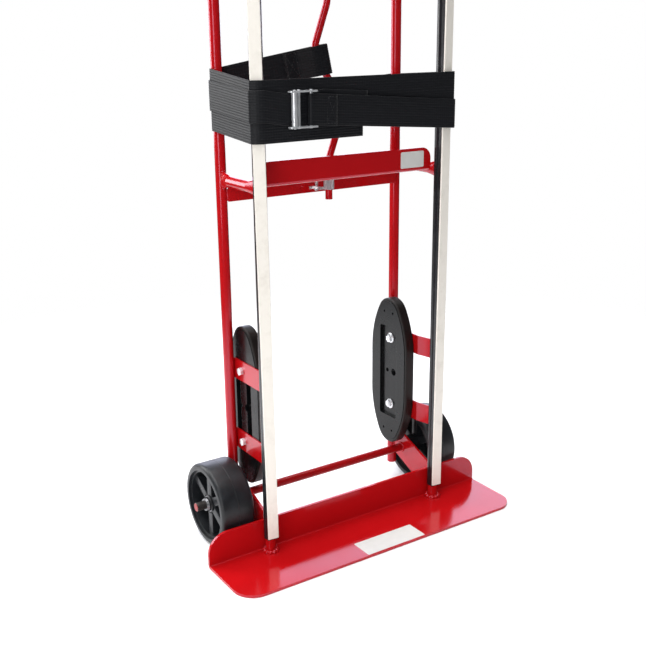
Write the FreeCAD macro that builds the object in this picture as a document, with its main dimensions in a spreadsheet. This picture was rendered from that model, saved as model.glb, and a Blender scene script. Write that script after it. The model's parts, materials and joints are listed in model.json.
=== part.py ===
"""Appliance hand truck: welded tube frame, toe plate, wheels, stair climbers, belt crank and strap.

The truck faces -Y, X runs across it and Z is up. The floor is z = 0 and the origin lies under the
middle of its footprint. Depths are measured from the front face of the toe plate's flange, and
every finished piece is then moved by MIDDLE.
"""
import FreeCAD, Part
import math
import os
import re
import Sketcher
from FreeCAD import Rotation, Vector

DRIVING_SIZES = [
    # Fits shared by the whole truck.
    ("weld_gap", 0.1),
    ("running_fit", 0.05),
    ("side_play", 0.3),
    ("cut_overrun", 2),
    # Toe plate: bent sheet with a low flange along its back.
    ("toe_width", 610),
    ("toe_depth", 128),
    ("toe_sheet", 4.8),
    ("toe_flange_height", 62),
    ("toe_bend_radius", 2.4),
    ("toe_corner_radius", 40),
    ("toe_flange_corner_radius", 38),
    # Round tube of the rails, rear uprights, spacers and handle.
    ("tube_diameter", 19.05),
    ("tube_wall", 1.65),
    ("frame_spread", 375.6),
    ("rail_ahead", 12.1),
    ("rail_crown_drop", 50),
    ("rail_bend_radius", 60),
    ("rear_back", 122.5),
    ("rear_foot_height", 31),
    ("overall_height", 1524),
    ("handle_drop", 144),
    ("handle_bend_radius", 80),
    ("grip_length", 190),
    ("grip_wall", 3.2),
    ("grip_end_round", 2),
    # Covers that clip on the front rails, turning round them, and the wear strips on them.
    ("cover_fit", 0.15),
    ("cover_wall", 1.65),
    ("cover_wrap", 4.5),
    ("cover_turn_left", 5),
    ("cover_twist_left", 40.6),
    ("cover_turn_right", 5.5),
    ("cover_twist_right", 21),
    ("cover_land_width", 20),
    ("cover_land_ahead", 11.9),
    ("cover_foot", 32),
    ("cover_top_gap", 8),
    ("pad_thickness", 2.6),
    ("pad_edge_round", 1),
    ("pad_foot", 35),
    ("pad_top_gap", 5),
    # Z-section cross-members and the crushed-end spacers beside them.
    ("cross_sheet", 3),
    ("cross_bend_radius", 3),
    ("cross_front_back", 3.5),
    ("cross_front_flange", 40),
    ("cross_rear_flange", 38),
    ("cross_rear_lap", 2.5),
    ("cross_flange_corner_radius", 20),
    ("mid_cross_height", 659),
    ("upper_cross_height", 1121),
    ("crush_height", 33),
    ("crush_thickness", 7),
    ("crush_length", 24),
    # Axle, its plates and the hardware that keeps the wheels on.
    ("axle_diameter", 15.9),
    ("axle_length", 570),
    ("axle_back", 87.3),
    ("axle_end_chamfer", 1),
    ("axle_plate_thickness", 4.8),
    ("axle_plate_rear_low", 59.6),
    ("axle_plate_rear_high", 117),
    ("axle_plate_front_low", 12),
    ("axle_plate_front_high", 72),
    ("washer_diameter", 30),
    ("washer_thickness", 3.2),
    ("push_nut_crown_diameter", 22),
    ("push_nut_height", 8),
    # Wheels: a rubber tyre moulded on a ribbed core with a steel bush.
    ("wheel_diameter", 152.4),
    ("tread_width", 51),
    ("tyre_thickness", 12),
    ("tyre_shoulder_radius", 7),
    ("wheel_inner_face", 212.5),
    ("hub_length", 62),
    ("hub_diameter", 38),
    ("rim_wall", 4),
    ("web_thickness", 6),
    ("rib_thickness", 3),
    ("rib_pair_gap", 9),
    ("rib_setback", 7),
    ("bush_wall", 3),
    # Stair climbers: a belt round an oval core, bolted to two flat brackets.
    ("climber_back", 93),
    ("climber_height", 246),
    ("climber_width", 114),
    ("climber_length", 304),
    ("climber_straight", 84),
    ("climber_tip_radius", 36),
    ("climber_core_thickness", 21.5),
    ("climber_belt_thickness", 5),
    ("climber_belt_width", 19.5),
    ("climber_belt_fit", 0.3),
    ("climber_belt_edge_round", 2.5),
    ("climber_recess_width", 53),
    ("climber_recess_length", 189),
    ("climber_recess_depth", 6),
    ("climber_recess_corner_radius", 5),
    ("climber_middle_hole_diameter", 14),
    ("climber_light_hole_diameter", 8),
    ("climber_hole_offset", 10),
    ("climber_channel_inset", 11),
    ("climber_channel_width", 16),
    ("climber_channel_length", 176),
    ("climber_channel_depth", 9),
    ("climber_dimple_diameter", 5),
    ("climber_dimple_depth", 2),
    ("climber_dimple_rise", 124),
    ("bracket_height", 38),
    ("bracket_thickness", 3),
    ("bracket_bend_back", 27),
    ("bracket_foot_inset", 2.6),
    ("bolt_spacing", 138),
    ("bolt_diameter", 8),
    ("bolt_fit", 0.15),
    ("bolt_head_across", 14.6),
    ("bolt_head_height", 5.5),
    ("nut_height", 6.5),
    ("bolt_end_stand_out", 1),
    # Belt crank: an S-bent rod in the two cross-members, with a ratchet under the lower one.
    ("crank_diameter", 12.7),
    ("crank_back", 70),
    ("crank_foot", 613),
    ("crank_lower_bend", 683),
    ("crank_front_throw", 30),
    ("crank_front_throw_height", 775),
    ("crank_rear_throw", 26),
    ("crank_rear_throw_height", 868),
    ("crank_upper_bend", 948),
    ("crank_bend_radius", 40),
    ("crank_top_stand_out", 24),
    ("crank_washer_diameter", 26),
    ("crank_washer_thickness", 2.5),
    ("cotter_diameter", 3.2),
    ("cotter_length", 32),
    ("pinion_tip_diameter", 19),
    ("pinion_root_diameter", 15.2),
    ("pinion_height", 26.5),
    ("pinion_pin_diameter", 3.2),
    ("pawl_clearance", 0.4),
    ("pawl_arm", 18),
    ("pawl_width", 6),
    ("pawl_nose_width", 3.4),
    ("pawl_tail", 14),
    ("pawl_thickness", 5),
    ("pawl_lift", 0.5),
    ("pawl_eye_diameter", 10),
    ("pawl_pin_diameter", 4),
    ("pawl_pin_head_diameter", 8),
    ("pawl_pin_head_height", 3),
    # Strap: flat webbing wrapped round the frame, and its end sewn round the crank.
    ("strap_width", 47.5),
    ("strap_thickness", 2),
    ("strap_clearance", 0.3),
    ("strap_layer_gap", 0.35),
    ("strap_twist_allowance", 0.4),
    ("strap_front_fold_radius", 2.5),
    ("strap_start_height", 818.8),
    ("strap_first_front_left_height", 804.6),
    ("strap_first_front_right_height", 806.5),
    ("strap_first_rear_right_height", 806),
    ("strap_second_rear_left_height", 766.5),
    ("strap_second_front_left_height", 756.7),
    ("strap_second_end_height", 757.6),
    ("strap_second_end_offset", 2),
    ("strap_outer_front_right_height", 759.5),
    ("strap_outer_rear_right_height", 759),
    ("strap_outer_rear_left_height", 800),
    ("strap_outer_front_left_height", 789.3),
    ("strap_loop_height", 855),
    ("strap_loop_reach", 5.5),
    ("strap_loop_gap", 1),
    ("strap_loop_overlap", 32),
    ("strap_loop_seam", 24),
    # Buckle: two side plates, a roller and two bars.
    ("buckle_height", 783),
    ("buckle_opening", 53),
    ("buckle_plate_thickness", 2.6),
    ("buckle_left", 147),
    ("buckle_length", 52),
    ("buckle_depth", 13),
    ("buckle_corner_radius", 4),
    ("buckle_bar_diameter", 5),
    ("buckle_bar_stand_out", 1.4),
    ("roller_diameter", 10),
    ("roller_from_left", 11),
    ("lock_bar_from_left", 20.5),
    ("loop_bar_from_left", 42),
    ("strap_tongue_length", 30),
    ("strap_seam_length", 22),
    ("strap_tongue_height", 781),
    ("strap_tail_near_height", 784.5),
    ("strap_tail_rise", 17),
    ("strap_tail_high", 787.5),
    ("strap_tail_end_offset", 10),
    ("strap_tail_end_height", 781.5),
    ("strap_tail_cover", 15),
]
WHEEL_SPOKES = 6
PINION_TEETH = 10
FOLD_STEPS = 4
CRUSH_STEPS = 16
TWIST_STEPS = 8
LOOP_STEPS = 6
HEX_SIDES = 6
FULL_TURN = 360
QUARTER_TURN = 90
SIDES = (("left", -1), ("right", 1))
HEIGHTS = (("lower", -1), ("upper", 1))

doc = FreeCAD.newDocument("appliance_hand_truck")
sheet = doc.addObject("Spreadsheet::Sheet", "Sizes")
for row, (alias, value) in enumerate(DRIVING_SIZES, start=1):
    sheet.set(f"A{row}", alias)
    sheet.set(f"B{row}", str(value))
    sheet.setAlias(f"B{row}", alias)
gauge = doc.addObject("App::FeaturePython", "Gauge")
gauge.addProperty("App::PropertyFloat", "Reading")
doc.recompute()

WORD = re.compile(r"[a-z][a-z_]+")
SHEET_WORDS = ("sin", "cos", "atan", "sqrt", "deg")
finished_parts = []


def cell(expression):
    """Give each size named in an expression the name of its sheet."""
    def with_sheet(word):
        return word[0] if word[0] in SHEET_WORDS else "Sizes." + word[0]
    return WORD.sub(with_sheet, expression)


def number(expression):
    """The present value of an expression of named sizes."""
    gauge.setExpression("Reading", cell(expression))
    gauge.recompute()
    return gauge.Reading


def bind(thing, **expressions):
    """Tie properties of a document object to expressions of named sizes."""
    for name, expression in expressions.items():
        thing.setExpression(name.replace("__", "."), cell(expression))


# Places that follow from the driving sizes.
TUBE_R = "tube_diameter / 2"
BORE_R = "(tube_diameter / 2 - tube_wall)"
FRAME_X = "frame_spread / 2"
WHEEL_R = "wheel_diameter / 2"
AXLE_R = "axle_diameter / 2"
MIDDLE = "(toe_depth - axle_back - wheel_diameter / 2) / 2"
COVER_BORE_R = "(tube_diameter / 2 + cover_fit)"
COVER_R = "(tube_diameter / 2 + cover_fit + cover_wall)"
LAND_SIDE = "(cover_land_width / 2 - pad_edge_round)"
LAND_FRONT = "(cover_land_ahead + running_fit + pad_thickness - pad_edge_round)"
CROSS_REAR = "(rear_back - tube_diameter / 2 - weld_gap)"
CROSS_WEB_HALF = "(frame_spread / 2 - tube_diameter / 2 - weld_gap)"
PLATE_OUTER = "(frame_spread / 2 + axle_plate_thickness / 2)"
HUB_INNER = f"({PLATE_OUTER} + washer_thickness + side_play)"
HUB_OUTER = f"({HUB_INNER} + hub_length)"
BRACKET_OUTER = "(frame_spread / 2 - tube_diameter / 2 - weld_gap)"
CORE_OUTER = f"({BRACKET_OUTER} - bracket_thickness)"
CRANK_R = "crank_diameter / 2"
REAR_TOP = "(overall_height - handle_drop)"
RAIL_CROWN = f"({REAR_TOP} - rail_crown_drop)"
COVER_TOP = f"({RAIL_CROWN} - rail_bend_radius - cover_top_gap)"
STRAP_SHARE = f"((buckle_height - cover_foot) / ({COVER_TOP} - cover_foot))"
STRAP_TURN_LEFT = f"(cover_turn_left + cover_twist_left * {STRAP_SHARE})"
STRAP_TURN_RIGHT = f"(cover_twist_right * {STRAP_SHARE} - cover_turn_right)"
STRAP_EDGE = "(pad_edge_round + strap_twist_allowance)"
STRAP_AHEAD = f"({LAND_SIDE} * sin({STRAP_TURN_LEFT}) + {LAND_FRONT} * cos({STRAP_TURN_LEFT}))"
STRAP_PLANE = f"(rail_ahead + {STRAP_AHEAD} + {STRAP_EDGE})"
STRAP_ASIDE = f"({LAND_SIDE} * cos({STRAP_TURN_RIGHT}) + {LAND_FRONT} * sin({STRAP_TURN_RIGHT}))"
STRAP_RIGHT = f"({FRAME_X} + {STRAP_ASIDE} + {STRAP_EDGE})"
PINION_TOP = "(mid_cross_height - cross_sheet / 2 - side_play)"
PAWL_LOW = f"({PINION_TOP} - pinion_height + pawl_lift)"
PAWL_PIVOT_X = "(pinion_tip_diameter / 2 + pawl_clearance + pawl_nose_width / 2 + pawl_width / 2)"
OUTER_STRAP_BACK = f"({STRAP_PLANE} + strap_clearance + strap_thickness + strap_layer_gap)"
OUTER_STRAP_FRONT = f"({OUTER_STRAP_BACK} + strap_thickness)"
BUCKLE_BAR_AHEAD = f"({OUTER_STRAP_FRONT} + strap_layer_gap + buckle_bar_diameter / 2)"
LOOP_BAR_AHEAD = f"({BUCKLE_BAR_AHEAD} + strap_thickness + strap_layer_gap)"
ROLLER_AHEAD = f"({OUTER_STRAP_FRONT} + strap_layer_gap + roller_diameter / 2)"
CRANK_ANGLE = "180 - atan((rear_back - crank_back) / (frame_spread / 2)) / 1deg"


def finish(part, label, x="0", y="0", z="0"):
    """Name a finished piece and put it in its place on the truck."""
    part.Label = label
    bind(part, Placement__Base__x=x, Placement__Base__y=f"{MIDDLE} + ({y})", Placement__Base__z=z)
    finished_parts.append(part)


def new_body(label):
    return doc.addObject("PartDesign::Body", label)


def sketch_on(body, plane, lift="0"):
    """A sketch on one of the body's origin planes, raised from it by lift."""
    sketch = body.newObject("Sketcher::SketchObject", "Sketch")
    support = next(item for item in body.Origin.OriginFeatures if item.Role == plane)
    sketch.AttachmentSupport = [(support, "")]
    sketch.MapMode = "FlatFace"
    bind(sketch, AttachmentOffset__Base__z=lift)
    return sketch


def tie(sketch, kind, *where, size):
    """A dimension in a sketch that follows an expression of named sizes."""
    index = sketch.addConstraint(Sketcher.Constraint(kind, *where, number(size)))
    sketch.setExpression(f"Constraints[{index}]", cell(size))


def tie_point(sketch, geometry, position, x, y):
    tie(sketch, "DistanceX", -1, 1, geometry, position, size=x)
    tie(sketch, "DistanceY", -1, 1, geometry, position, size=y)


def spot(x, y):
    return Vector(number(x), number(y), 0)


def draw_polygon(sketch, corners):
    """A closed outline of straight lines through corners given as pairs of expressions."""
    spots = [spot(x, y) for x, y in corners]
    lines = [
        sketch.addGeometry(Part.LineSegment(here, there))
        for here, there in zip(spots, spots[1:] + spots[:1])
    ]
    for line, after, (x, y) in zip(lines, lines[1:] + lines[:1], corners):
        sketch.addConstraint(Sketcher.Constraint("Coincident", line, 2, after, 1))
        tie_point(sketch, line, 1, x, y)


def draw_rectangle(sketch, x_low, x_high, y_low, y_high):
    draw_polygon(sketch, [(x_low, y_low), (x_high, y_low), (x_high, y_high), (x_low, y_high)])


def draw_circle(sketch, radius, x="0", y="0"):
    ring = sketch.addGeometry(Part.Circle(spot(x, y), Vector(0, 0, 1), number(radius)))
    tie_point(sketch, ring, 3, x, y)
    tie(sketch, "Radius", ring, size=radius)


def draw_oval(sketch, half_width, half_length, tip_radius):
    """Straight sides along the sketch's Y, then side arcs that bow in to round tips."""
    side, tip, crown = number(half_width), number(tip_radius), number(f"{half_length} - ({tip_radius})")
    reach = number("climber_straight / 2")
    rise = crown - reach
    bow = (side ** 2 + rise ** 2 - tip ** 2) / (2 * (side - tip))
    turn = math.atan2(rise, bow - side)

    def line(x, y):
        index = sketch.addGeometry(Part.LineSegment(Vector(x, -y, 0), Vector(x, y, 0)))
        for position, way in ((1, -1), (2, 1)):
            across = half_width if x > 0 else f"-({half_width})"
            along = f"{way} * climber_straight / 2" if y > 0 else f"{-way} * climber_straight / 2"
            tie_point(sketch, index, position, across, along)
        return index

    def arc(x, y, radius, first, last):
        circle = Part.Circle(Vector(x, y, 0), Vector(0, 0, 1), radius)
        return sketch.addGeometry(Part.ArcOfCircle(circle, first, last))

    pieces = [
        line(side, reach), arc(side - bow, reach, bow, 0, turn),
        arc(0, crown, tip, turn, math.pi - turn), arc(bow - side, reach, bow, math.pi - turn, math.pi),
        line(-side, -reach), arc(bow - side, -reach, bow, math.pi, math.pi + turn),
        arc(0, -crown, tip, math.pi + turn, -turn), arc(side - bow, -reach, bow, -turn, 0),
    ]
    for before, after in zip(pieces, pieces[1:] + pieces[:1]):
        sketch.addConstraint(Sketcher.Constraint("Tangent", before, 2, after, 1))
    for piece, way in ((pieces[2], 1), (pieces[6], -1)):
        tie_point(sketch, piece, 3, "0", f"{way} * ({half_length} - ({tip_radius}))")
        tie(sketch, "Radius", piece, size=tip_radius)


def draw_bent_line(sketch, corners, radius):
    """An open line through corners, each inner corner rounded to one bend radius."""
    spots = [spot(x, y) for x, y in corners]
    bend = number(radius)
    starts, ends, arcs = [spots[0]], [], []
    for before, corner, after in zip(spots, spots[1:], spots[2:]):
        inward = (corner - before).normalize()
        outward = (after - corner).normalize()
        turn = math.atan2(inward.cross(outward).z, inward.dot(outward))
        reach = bend * math.tan(abs(turn) / 2)
        towards_centre = Vector(-inward.y, inward.x, 0) * math.copysign(bend, turn)
        ends.append(corner - inward * reach)
        starts.append(corner + outward * reach)
        arcs.append((ends[-1] + towards_centre, turn))
    ends.append(spots[-1])
    lines = [sketch.addGeometry(Part.LineSegment(*pair)) for pair in zip(starts, ends)]
    for index, (centre, turn) in enumerate(arcs):
        entry, leave = ends[index] - centre, starts[index + 1] - centre
        first, last = (entry, leave) if turn > 0 else (leave, entry)
        angles = [math.atan2(arm.y, arm.x) for arm in (first, last)]
        arc = sketch.addGeometry(
            Part.ArcOfCircle(Part.Circle(centre, Vector(0, 0, 1), bend), *angles))
        entry_end, leave_end = (1, 2) if turn > 0 else (2, 1)
        line, next_line = lines[index], lines[index + 1]
        sketch.addConstraint(Sketcher.Constraint("Tangent", line, 2, arc, entry_end))
        sketch.addConstraint(Sketcher.Constraint("Tangent", arc, leave_end, next_line, 1))
        tie(sketch, "Radius", arc, size=radius)
        corner = sketch.addGeometry(Part.Point(spots[index + 1]), True)
        sketch.addConstraint(Sketcher.Constraint("PointOnObject", corner, 1, line))
        sketch.addConstraint(Sketcher.Constraint("PointOnObject", corner, 1, next_line))
        tie_point(sketch, corner, 1, *corners[index + 1])
    tie_point(sketch, lines[0], 1, *corners[0])
    tie_point(sketch, lines[-1], 2, *corners[-1])
    return lines[0], lines[-1]


def pad(body, sketch, length, way="Symmetric", backwards=False):
    feature = body.newObject("PartDesign::Pad", "Pad")
    feature.Profile = sketch
    feature.SideType = way
    feature.Reversed = backwards
    bind(feature, Length=length)
    doc.recompute()
    return feature


def pocket(body, sketch, length=None):
    """Cut both ways from a sketch: right through, or half of length to each side."""
    before = body.Shape.Volume
    feature = body.newObject("PartDesign::Pocket", "Pocket")
    feature.Profile = sketch
    feature.SideType = "Symmetric"
    if length is None:
        feature.Type = "ThroughAll"
    else:
        bind(feature, Length=length)
    doc.recompute()
    if body.Shape.Volume >= before:
        raise RuntimeError(f"a pocket in {body.Name} cuts nothing")
    return feature


def round_edges(body, radius, chosen):
    """Round the edges of the body for which chosen(middle, box) is true."""
    base = body.Tip
    names = [
        f"Edge{index}" for index, edge in enumerate(base.Shape.Edges, start=1)
        if chosen(edge.CenterOfMass, edge.BoundBox)
    ]
    if not names:
        raise RuntimeError(f"no edge to round on {body.Name}")
    feature = body.newObject("PartDesign::Fillet", "Fillet")
    feature.Base = (base, names)
    bind(feature, Radius=radius)
    doc.recompute()
    if not body.Shape.isValid() or body.Shape.Volume <= 0:
        raise RuntimeError(f"rounding an edge breaks {body.Name}")


def near(value, expression):
    return math.isclose(value, number(expression), abs_tol=number("weld_gap") / 2)


def turned(label, corners):
    """A piece turned about its own Z axis from a half section of (radius, height) corners."""
    body = new_body(label)
    sketch = sketch_on(body, "XZ_Plane")
    draw_polygon(sketch, corners)
    feature = body.newObject("PartDesign::Revolution", "Revolution")
    feature.Profile = sketch
    feature.ReferenceAxis = (sketch, ["V_Axis"])
    feature.Angle = FULL_TURN
    doc.recompute()
    return body


def bent_tube(body, plane, corners, bend_radius, start, bore_radius=None, outer_radius=TUBE_R):
    """Sweep a round section, hollow if it has a bore, along a bent line in one plane."""
    path = sketch_on(body, plane)
    draw_bent_line(path, corners, bend_radius)
    x, y, z = start
    section = sketch_on(body, "XY_Plane", lift=z)
    draw_circle(section, outer_radius, x, y)
    if bore_radius:
        draw_circle(section, bore_radius, x, y)
    doc.recompute()
    sweep = body.newObject("PartDesign::AdditivePipe", "Sweep")
    sweep.Profile = section
    sweep.Spine = path
    doc.recompute()


def cylinder(radius, height, x="0", y="0", z="0"):
    solid = doc.addObject("Part::Cylinder", "Cylinder")
    bind(solid, Radius=radius, Height=height)
    bind(solid, Placement__Base__x=x, Placement__Base__y=y, Placement__Base__z=z)
    return solid


def block(x_low, x_high, y_low, y_high, height):
    solid = doc.addObject("Part::Box", "Block")
    bind(solid, Length=f"{x_high} - ({x_low})", Width=f"{y_high} - ({y_low})", Height=height)
    bind(solid, Placement__Base__x=x_low, Placement__Base__y=y_low)
    return solid


def boolean(kind, base, tool):
    result = doc.addObject(f"Part::{kind}", kind)
    result.Base = base
    result.Tool = tool
    doc.recompute()
    return result


def lay_across(part, sign):
    """Turn a piece so that its own Z axis points outwards along X on the given side."""
    part.Placement.Rotation = Rotation(Vector(0, 1, 0), sign * QUARTER_TURN)


def make_toe_plate():
    body = new_body("ToePlate")
    section = sketch_on(body, "YZ_Plane")
    draw_polygon(section, [
        ("-toe_depth", "0"), ("toe_sheet", "0"), ("toe_sheet", "toe_flange_height"),
        ("0", "toe_flange_height"), ("0", "toe_sheet"), ("-toe_depth", "toe_sheet"),
    ])
    pad(body, section, "toe_width")
    round_edges(body, "toe_corner_radius", lambda middle, box: (
        near(middle.y, "-toe_depth") and near(box.ZLength, "toe_sheet")))
    round_edges(body, "toe_flange_corner_radius", lambda middle, box: (
        near(middle.z, "toe_flange_height") and near(box.YLength, "toe_sheet")))
    round_edges(body, "toe_bend_radius", lambda middle, box: (
        near(middle.y, "0") and near(middle.z, "toe_sheet")))
    round_edges(body, "toe_bend_radius + toe_sheet", lambda middle, box: (
        near(middle.y, "toe_sheet") and near(middle.z, "0")))
    finish(body, "toe_plate")


def make_front_rail(side, sign):
    """Upright rail whose top bends back and is coped onto the rear upright."""
    body = new_body("FrontRail")
    bent_tube(
        body, "YZ_Plane",
        [("-rail_ahead", "toe_sheet"), ("-rail_ahead", RAIL_CROWN),
         ("rear_back", RAIL_CROWN)],
        "rail_bend_radius", ("0", "-rail_ahead", "toe_sheet"), BORE_R)
    cope = sketch_on(body, "XY_Plane", lift=RAIL_CROWN)
    draw_circle(cope, f"{TUBE_R} + weld_gap", "0", "rear_back")
    pocket(body, cope)
    finish(body, f"front_rail_{side}", x=f"{sign} * {FRAME_X}")


def turned_corner(x, y, turn):
    """A corner of a section that has turned so many degrees clockwise, seen from above."""
    return f"({x}) * cos({turn}) + ({y}) * sin({turn})", f"({y}) * cos({turn}) - ({x}) * sin({turn})"


def twisted_bar(side, sign, low, high, draw):
    """Loft draw(section, turn) from one height to another, turning it as the cover turns."""
    sections = []
    for step in range(TWIST_STEPS + 1):
        height = f"({low} + {step / TWIST_STEPS} * ({high} - {low}))"
        share = f"(({height} - cover_foot) / ({COVER_TOP} - cover_foot))"
        section = doc.addObject("Sketcher::SketchObject", "Section")
        draw(section, f"(cover_turn_{side} + {-sign} * cover_twist_{side} * {share})")
        bind(section, Placement__Base__z=f"{height} - {low}")
        sections.append(section)
    doc.recompute()
    bar = doc.addObject("Part::Loft", "TwistedBar")
    bar.Sections = sections
    bar.Solid = True
    doc.recompute()
    return bar


def make_rail_cover(side, sign):
    """Clip-on channel: a split sleeve with a flat land in front that turns as it climbs the rail."""
    half = "cover_land_width / 2"

    def draw_land(section, turn):
        draw_polygon(section, [
            turned_corner(x, y, turn) for x, y in (
                (f"-{half}", "-cover_land_ahead"), (half, "-cover_land_ahead"), (half, "0"), (f"-{half}", "0"))
        ])

    length = f"({COVER_TOP} - cover_foot)"
    reach = f"({COVER_R} + cut_overrun)"
    land = twisted_bar(side, sign, "cover_foot", COVER_TOP, draw_land)
    mouth = block(f"-{reach}", reach, "cover_wrap", reach, length)
    channel = boolean("Fuse", cylinder(COVER_R, length), land)
    channel = boolean("Cut", channel, cylinder(COVER_BORE_R, length))
    finish(boolean("Cut", channel, mouth), f"rail_cover_{side}",
           f"{sign} * {FRAME_X}", "-rail_ahead", "cover_foot")


def make_rail_pad(side, sign):
    """Wear strip with rounded front edges, lying on the cover's land and turning with it."""
    half = "cover_land_width / 2"
    back, front = "-cover_land_ahead - running_fit", "-cover_land_ahead - running_fit - pad_thickness"

    def draw_strip(section, turn):
        corners = [
            turned_corner(x, y, turn) for x, y in (
                (half, back), (half, front), (f"-{half}", front), (f"-{half}", back))
        ]
        first, last = draw_bent_line(section, corners, "pad_edge_round")
        across = section.addGeometry(Part.LineSegment(spot(*corners[-1]), spot(*corners[0])))
        section.addConstraint(Sketcher.Constraint("Coincident", last, 2, across, 1))
        section.addConstraint(Sketcher.Constraint("Coincident", across, 2, first, 1))

    strip = twisted_bar(side, sign, "pad_foot", f"({COVER_TOP} - pad_top_gap)", draw_strip)
    finish(strip, f"rail_pad_{side}", f"{sign} * {FRAME_X}", "-rail_ahead", "pad_foot")


def make_rear_tube(side, sign):
    length = f"{REAR_TOP} - rear_foot_height"
    tube = boolean("Cut", cylinder(TUBE_R, length), cylinder(BORE_R, length))
    finish(tube, f"rear_tube_{side}", f"{sign} * {FRAME_X}", "rear_back", "rear_foot_height")


def make_handle():
    """Bow that closes the two rear uprights at the top, with a sleeve to hold."""
    body = new_body("HandleBow")
    grip_bore = f"({TUBE_R} + cover_fit)"
    grip_outside = f"({grip_bore} + grip_wall)"
    bar_height = f"(overall_height - {grip_outside})"
    bent_tube(
        body, "XZ_Plane",
        [(f"-{FRAME_X}", REAR_TOP), (f"-{FRAME_X}", bar_height),
         (FRAME_X, bar_height), (FRAME_X, REAR_TOP)],
        "handle_bend_radius", (f"-{FRAME_X}", "0", REAR_TOP), BORE_R)
    finish(body, "handle_bow", y="rear_back")
    grip = turned("HandleGrip", [
        (grip_bore, "0"), (grip_outside, "0"), (grip_outside, "grip_length"),
        (grip_bore, "grip_length"),
    ])
    round_edges(grip, "grip_end_round", lambda middle, box: near(box.XLength, f"2 * {grip_outside}")
                and box.ZLength < number("weld_gap"))
    lay_across(grip, 1)
    finish(grip, "handle_grip", "-grip_length / 2", "rear_back", bar_height)


def make_cross_member(label, height, pawl_hole=False):
    """Z-section sheet: a flange up in front, a web, and a flange down on the rear uprights."""
    body = new_body("CrossMember")
    half_sheet = "cross_sheet / 2"
    front_back = "cross_front_back + cross_sheet"
    rear_front = f"{CROSS_REAR} - cross_sheet"
    rear_half = f"({CROSS_WEB_HALF} + cross_rear_lap)"
    section = sketch_on(body, "YZ_Plane")
    draw_polygon(section, [
        ("cross_front_back", f"-{half_sheet}"), (rear_front, f"-{half_sheet}"),
        (rear_front, "-cross_rear_flange"), (CROSS_REAR, "-cross_rear_flange"),
        (CROSS_REAR, half_sheet), (front_back, half_sheet),
        (front_back, "cross_front_flange"), ("cross_front_back", "cross_front_flange"),
    ])
    pad(body, section, f"2 * {rear_half}")
    notch = sketch_on(body, "XY_Plane")
    for sign in (-1, 1):
        draw_rectangle(
            notch, f"{sign} * {CROSS_WEB_HALF}", f"{sign} * ({rear_half} + cut_overrun)",
            "cross_front_back - cut_overrun", f"{rear_front} - 2 * cross_bend_radius")
    pocket(body, notch)
    round_edges(body, "cross_flange_corner_radius", lambda middle, box: (
        near(middle.z, "cross_front_flange") and near(box.YLength, "cross_sheet")))
    inner_bends = ((front_back, half_sheet), (rear_front, f"-{half_sheet}"))
    outer_bends = (("cross_front_back", f"-{half_sheet}"), (CROSS_REAR, half_sheet))
    for bends, radius in ((inner_bends, "cross_bend_radius"),
                          (outer_bends, "cross_bend_radius + cross_sheet")):
        for y, z in bends:
            round_edges(body, radius, lambda middle, box, y=y, z=z: (
                near(middle.y, y) and near(middle.z, z) and box.XLength > number(CROSS_WEB_HALF)))
    holes = sketch_on(body, "XY_Plane")
    draw_circle(holes, f"{CRANK_R} + running_fit", "0", "crank_back")
    if pawl_hole:
        draw_circle(holes, "pawl_pin_diameter / 2", f"-{PAWL_PIVOT_X}", "crank_back + pawl_arm")
    pocket(body, holes)
    finish(body, label, z=height)


def ring_section(y, half_width, half_height):
    """Oval outline across the Y axis, as points and one closed curve starting at its top."""
    points = []
    for step in range(CRUSH_STEPS):
        angle = 2 * math.pi * step / CRUSH_STEPS
        points.append(Vector(half_width * math.sin(angle), y, half_height * math.cos(angle)))
    curve = Part.BSplineCurve()
    curve.interpolate(points, PeriodicFlag=True)
    return Part.Wire(curve.toShape())


def make_spacer(label, sign, height):
    """Short tube between rail and upright, its ends crushed flat and coped to both."""
    front, rear = number("-rail_ahead"), number("rear_back")
    radius = number(TUBE_R)
    taper = radius + number("crush_length")
    tall, thin = number("crush_height") / 2, number("crush_thickness") / 2
    solid = Part.makeLoft([
        ring_section(front, thin, tall), ring_section(front + taper, radius, radius),
        ring_section(rear - taper, radius, radius), ring_section(rear, thin, tall),
    ], True, True)
    for y in (front, rear):
        cope = Part.makeCylinder(radius + number("weld_gap"), 4 * tall, Vector(0, y, -2 * tall))
        solid = solid.cut(cope)
    spacer = doc.addObject("Part::Feature", "Spacer")
    spacer.Shape = max(solid.Solids, key=lambda piece: piece.Volume)
    finish(spacer, label, f"{sign} * {FRAME_X}", z=height)


def make_axle():
    half = "axle_length / 2"
    bevel = "axle_end_chamfer"
    axle = turned("Axle", [
        ("0", f"-{half}"), (f"{AXLE_R} - {bevel}", f"-{half}"), (AXLE_R, f"-{half} + {bevel}"),
        (AXLE_R, f"{half} - {bevel}"), (f"{AXLE_R} - {bevel}", half), ("0", half),
    ])
    lay_across(axle, 1)
    finish(axle, "axle", y="axle_back", z=WHEEL_R)


def make_axle_plate(side, sign):
    """Upright plate that carries the axle between the rear upright and the toe flange."""
    body = new_body("AxlePlate")
    rear = f"(rear_back - {TUBE_R} - weld_gap)"
    flange_back = "(toe_sheet + weld_gap)"
    flange_over = "(toe_flange_height + weld_gap)"
    rail_back = f"({TUBE_R} - rail_ahead + weld_gap)"
    outline = sketch_on(body, "YZ_Plane")
    draw_polygon(outline, [
        (rear, "axle_plate_rear_low"), (rear, "axle_plate_rear_high"),
        (rail_back, "axle_plate_front_high"), (rail_back, flange_over),
        (flange_back, flange_over), (flange_back, "axle_plate_front_low"),
    ])
    pad(body, outline, "axle_plate_thickness")
    hole = sketch_on(body, "YZ_Plane")
    draw_circle(hole, f"{AXLE_R} + weld_gap", "axle_back", WHEEL_R)
    pocket(body, hole)
    finish(body, f"axle_plate_{side}", f"{sign} * {FRAME_X}")


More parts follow.
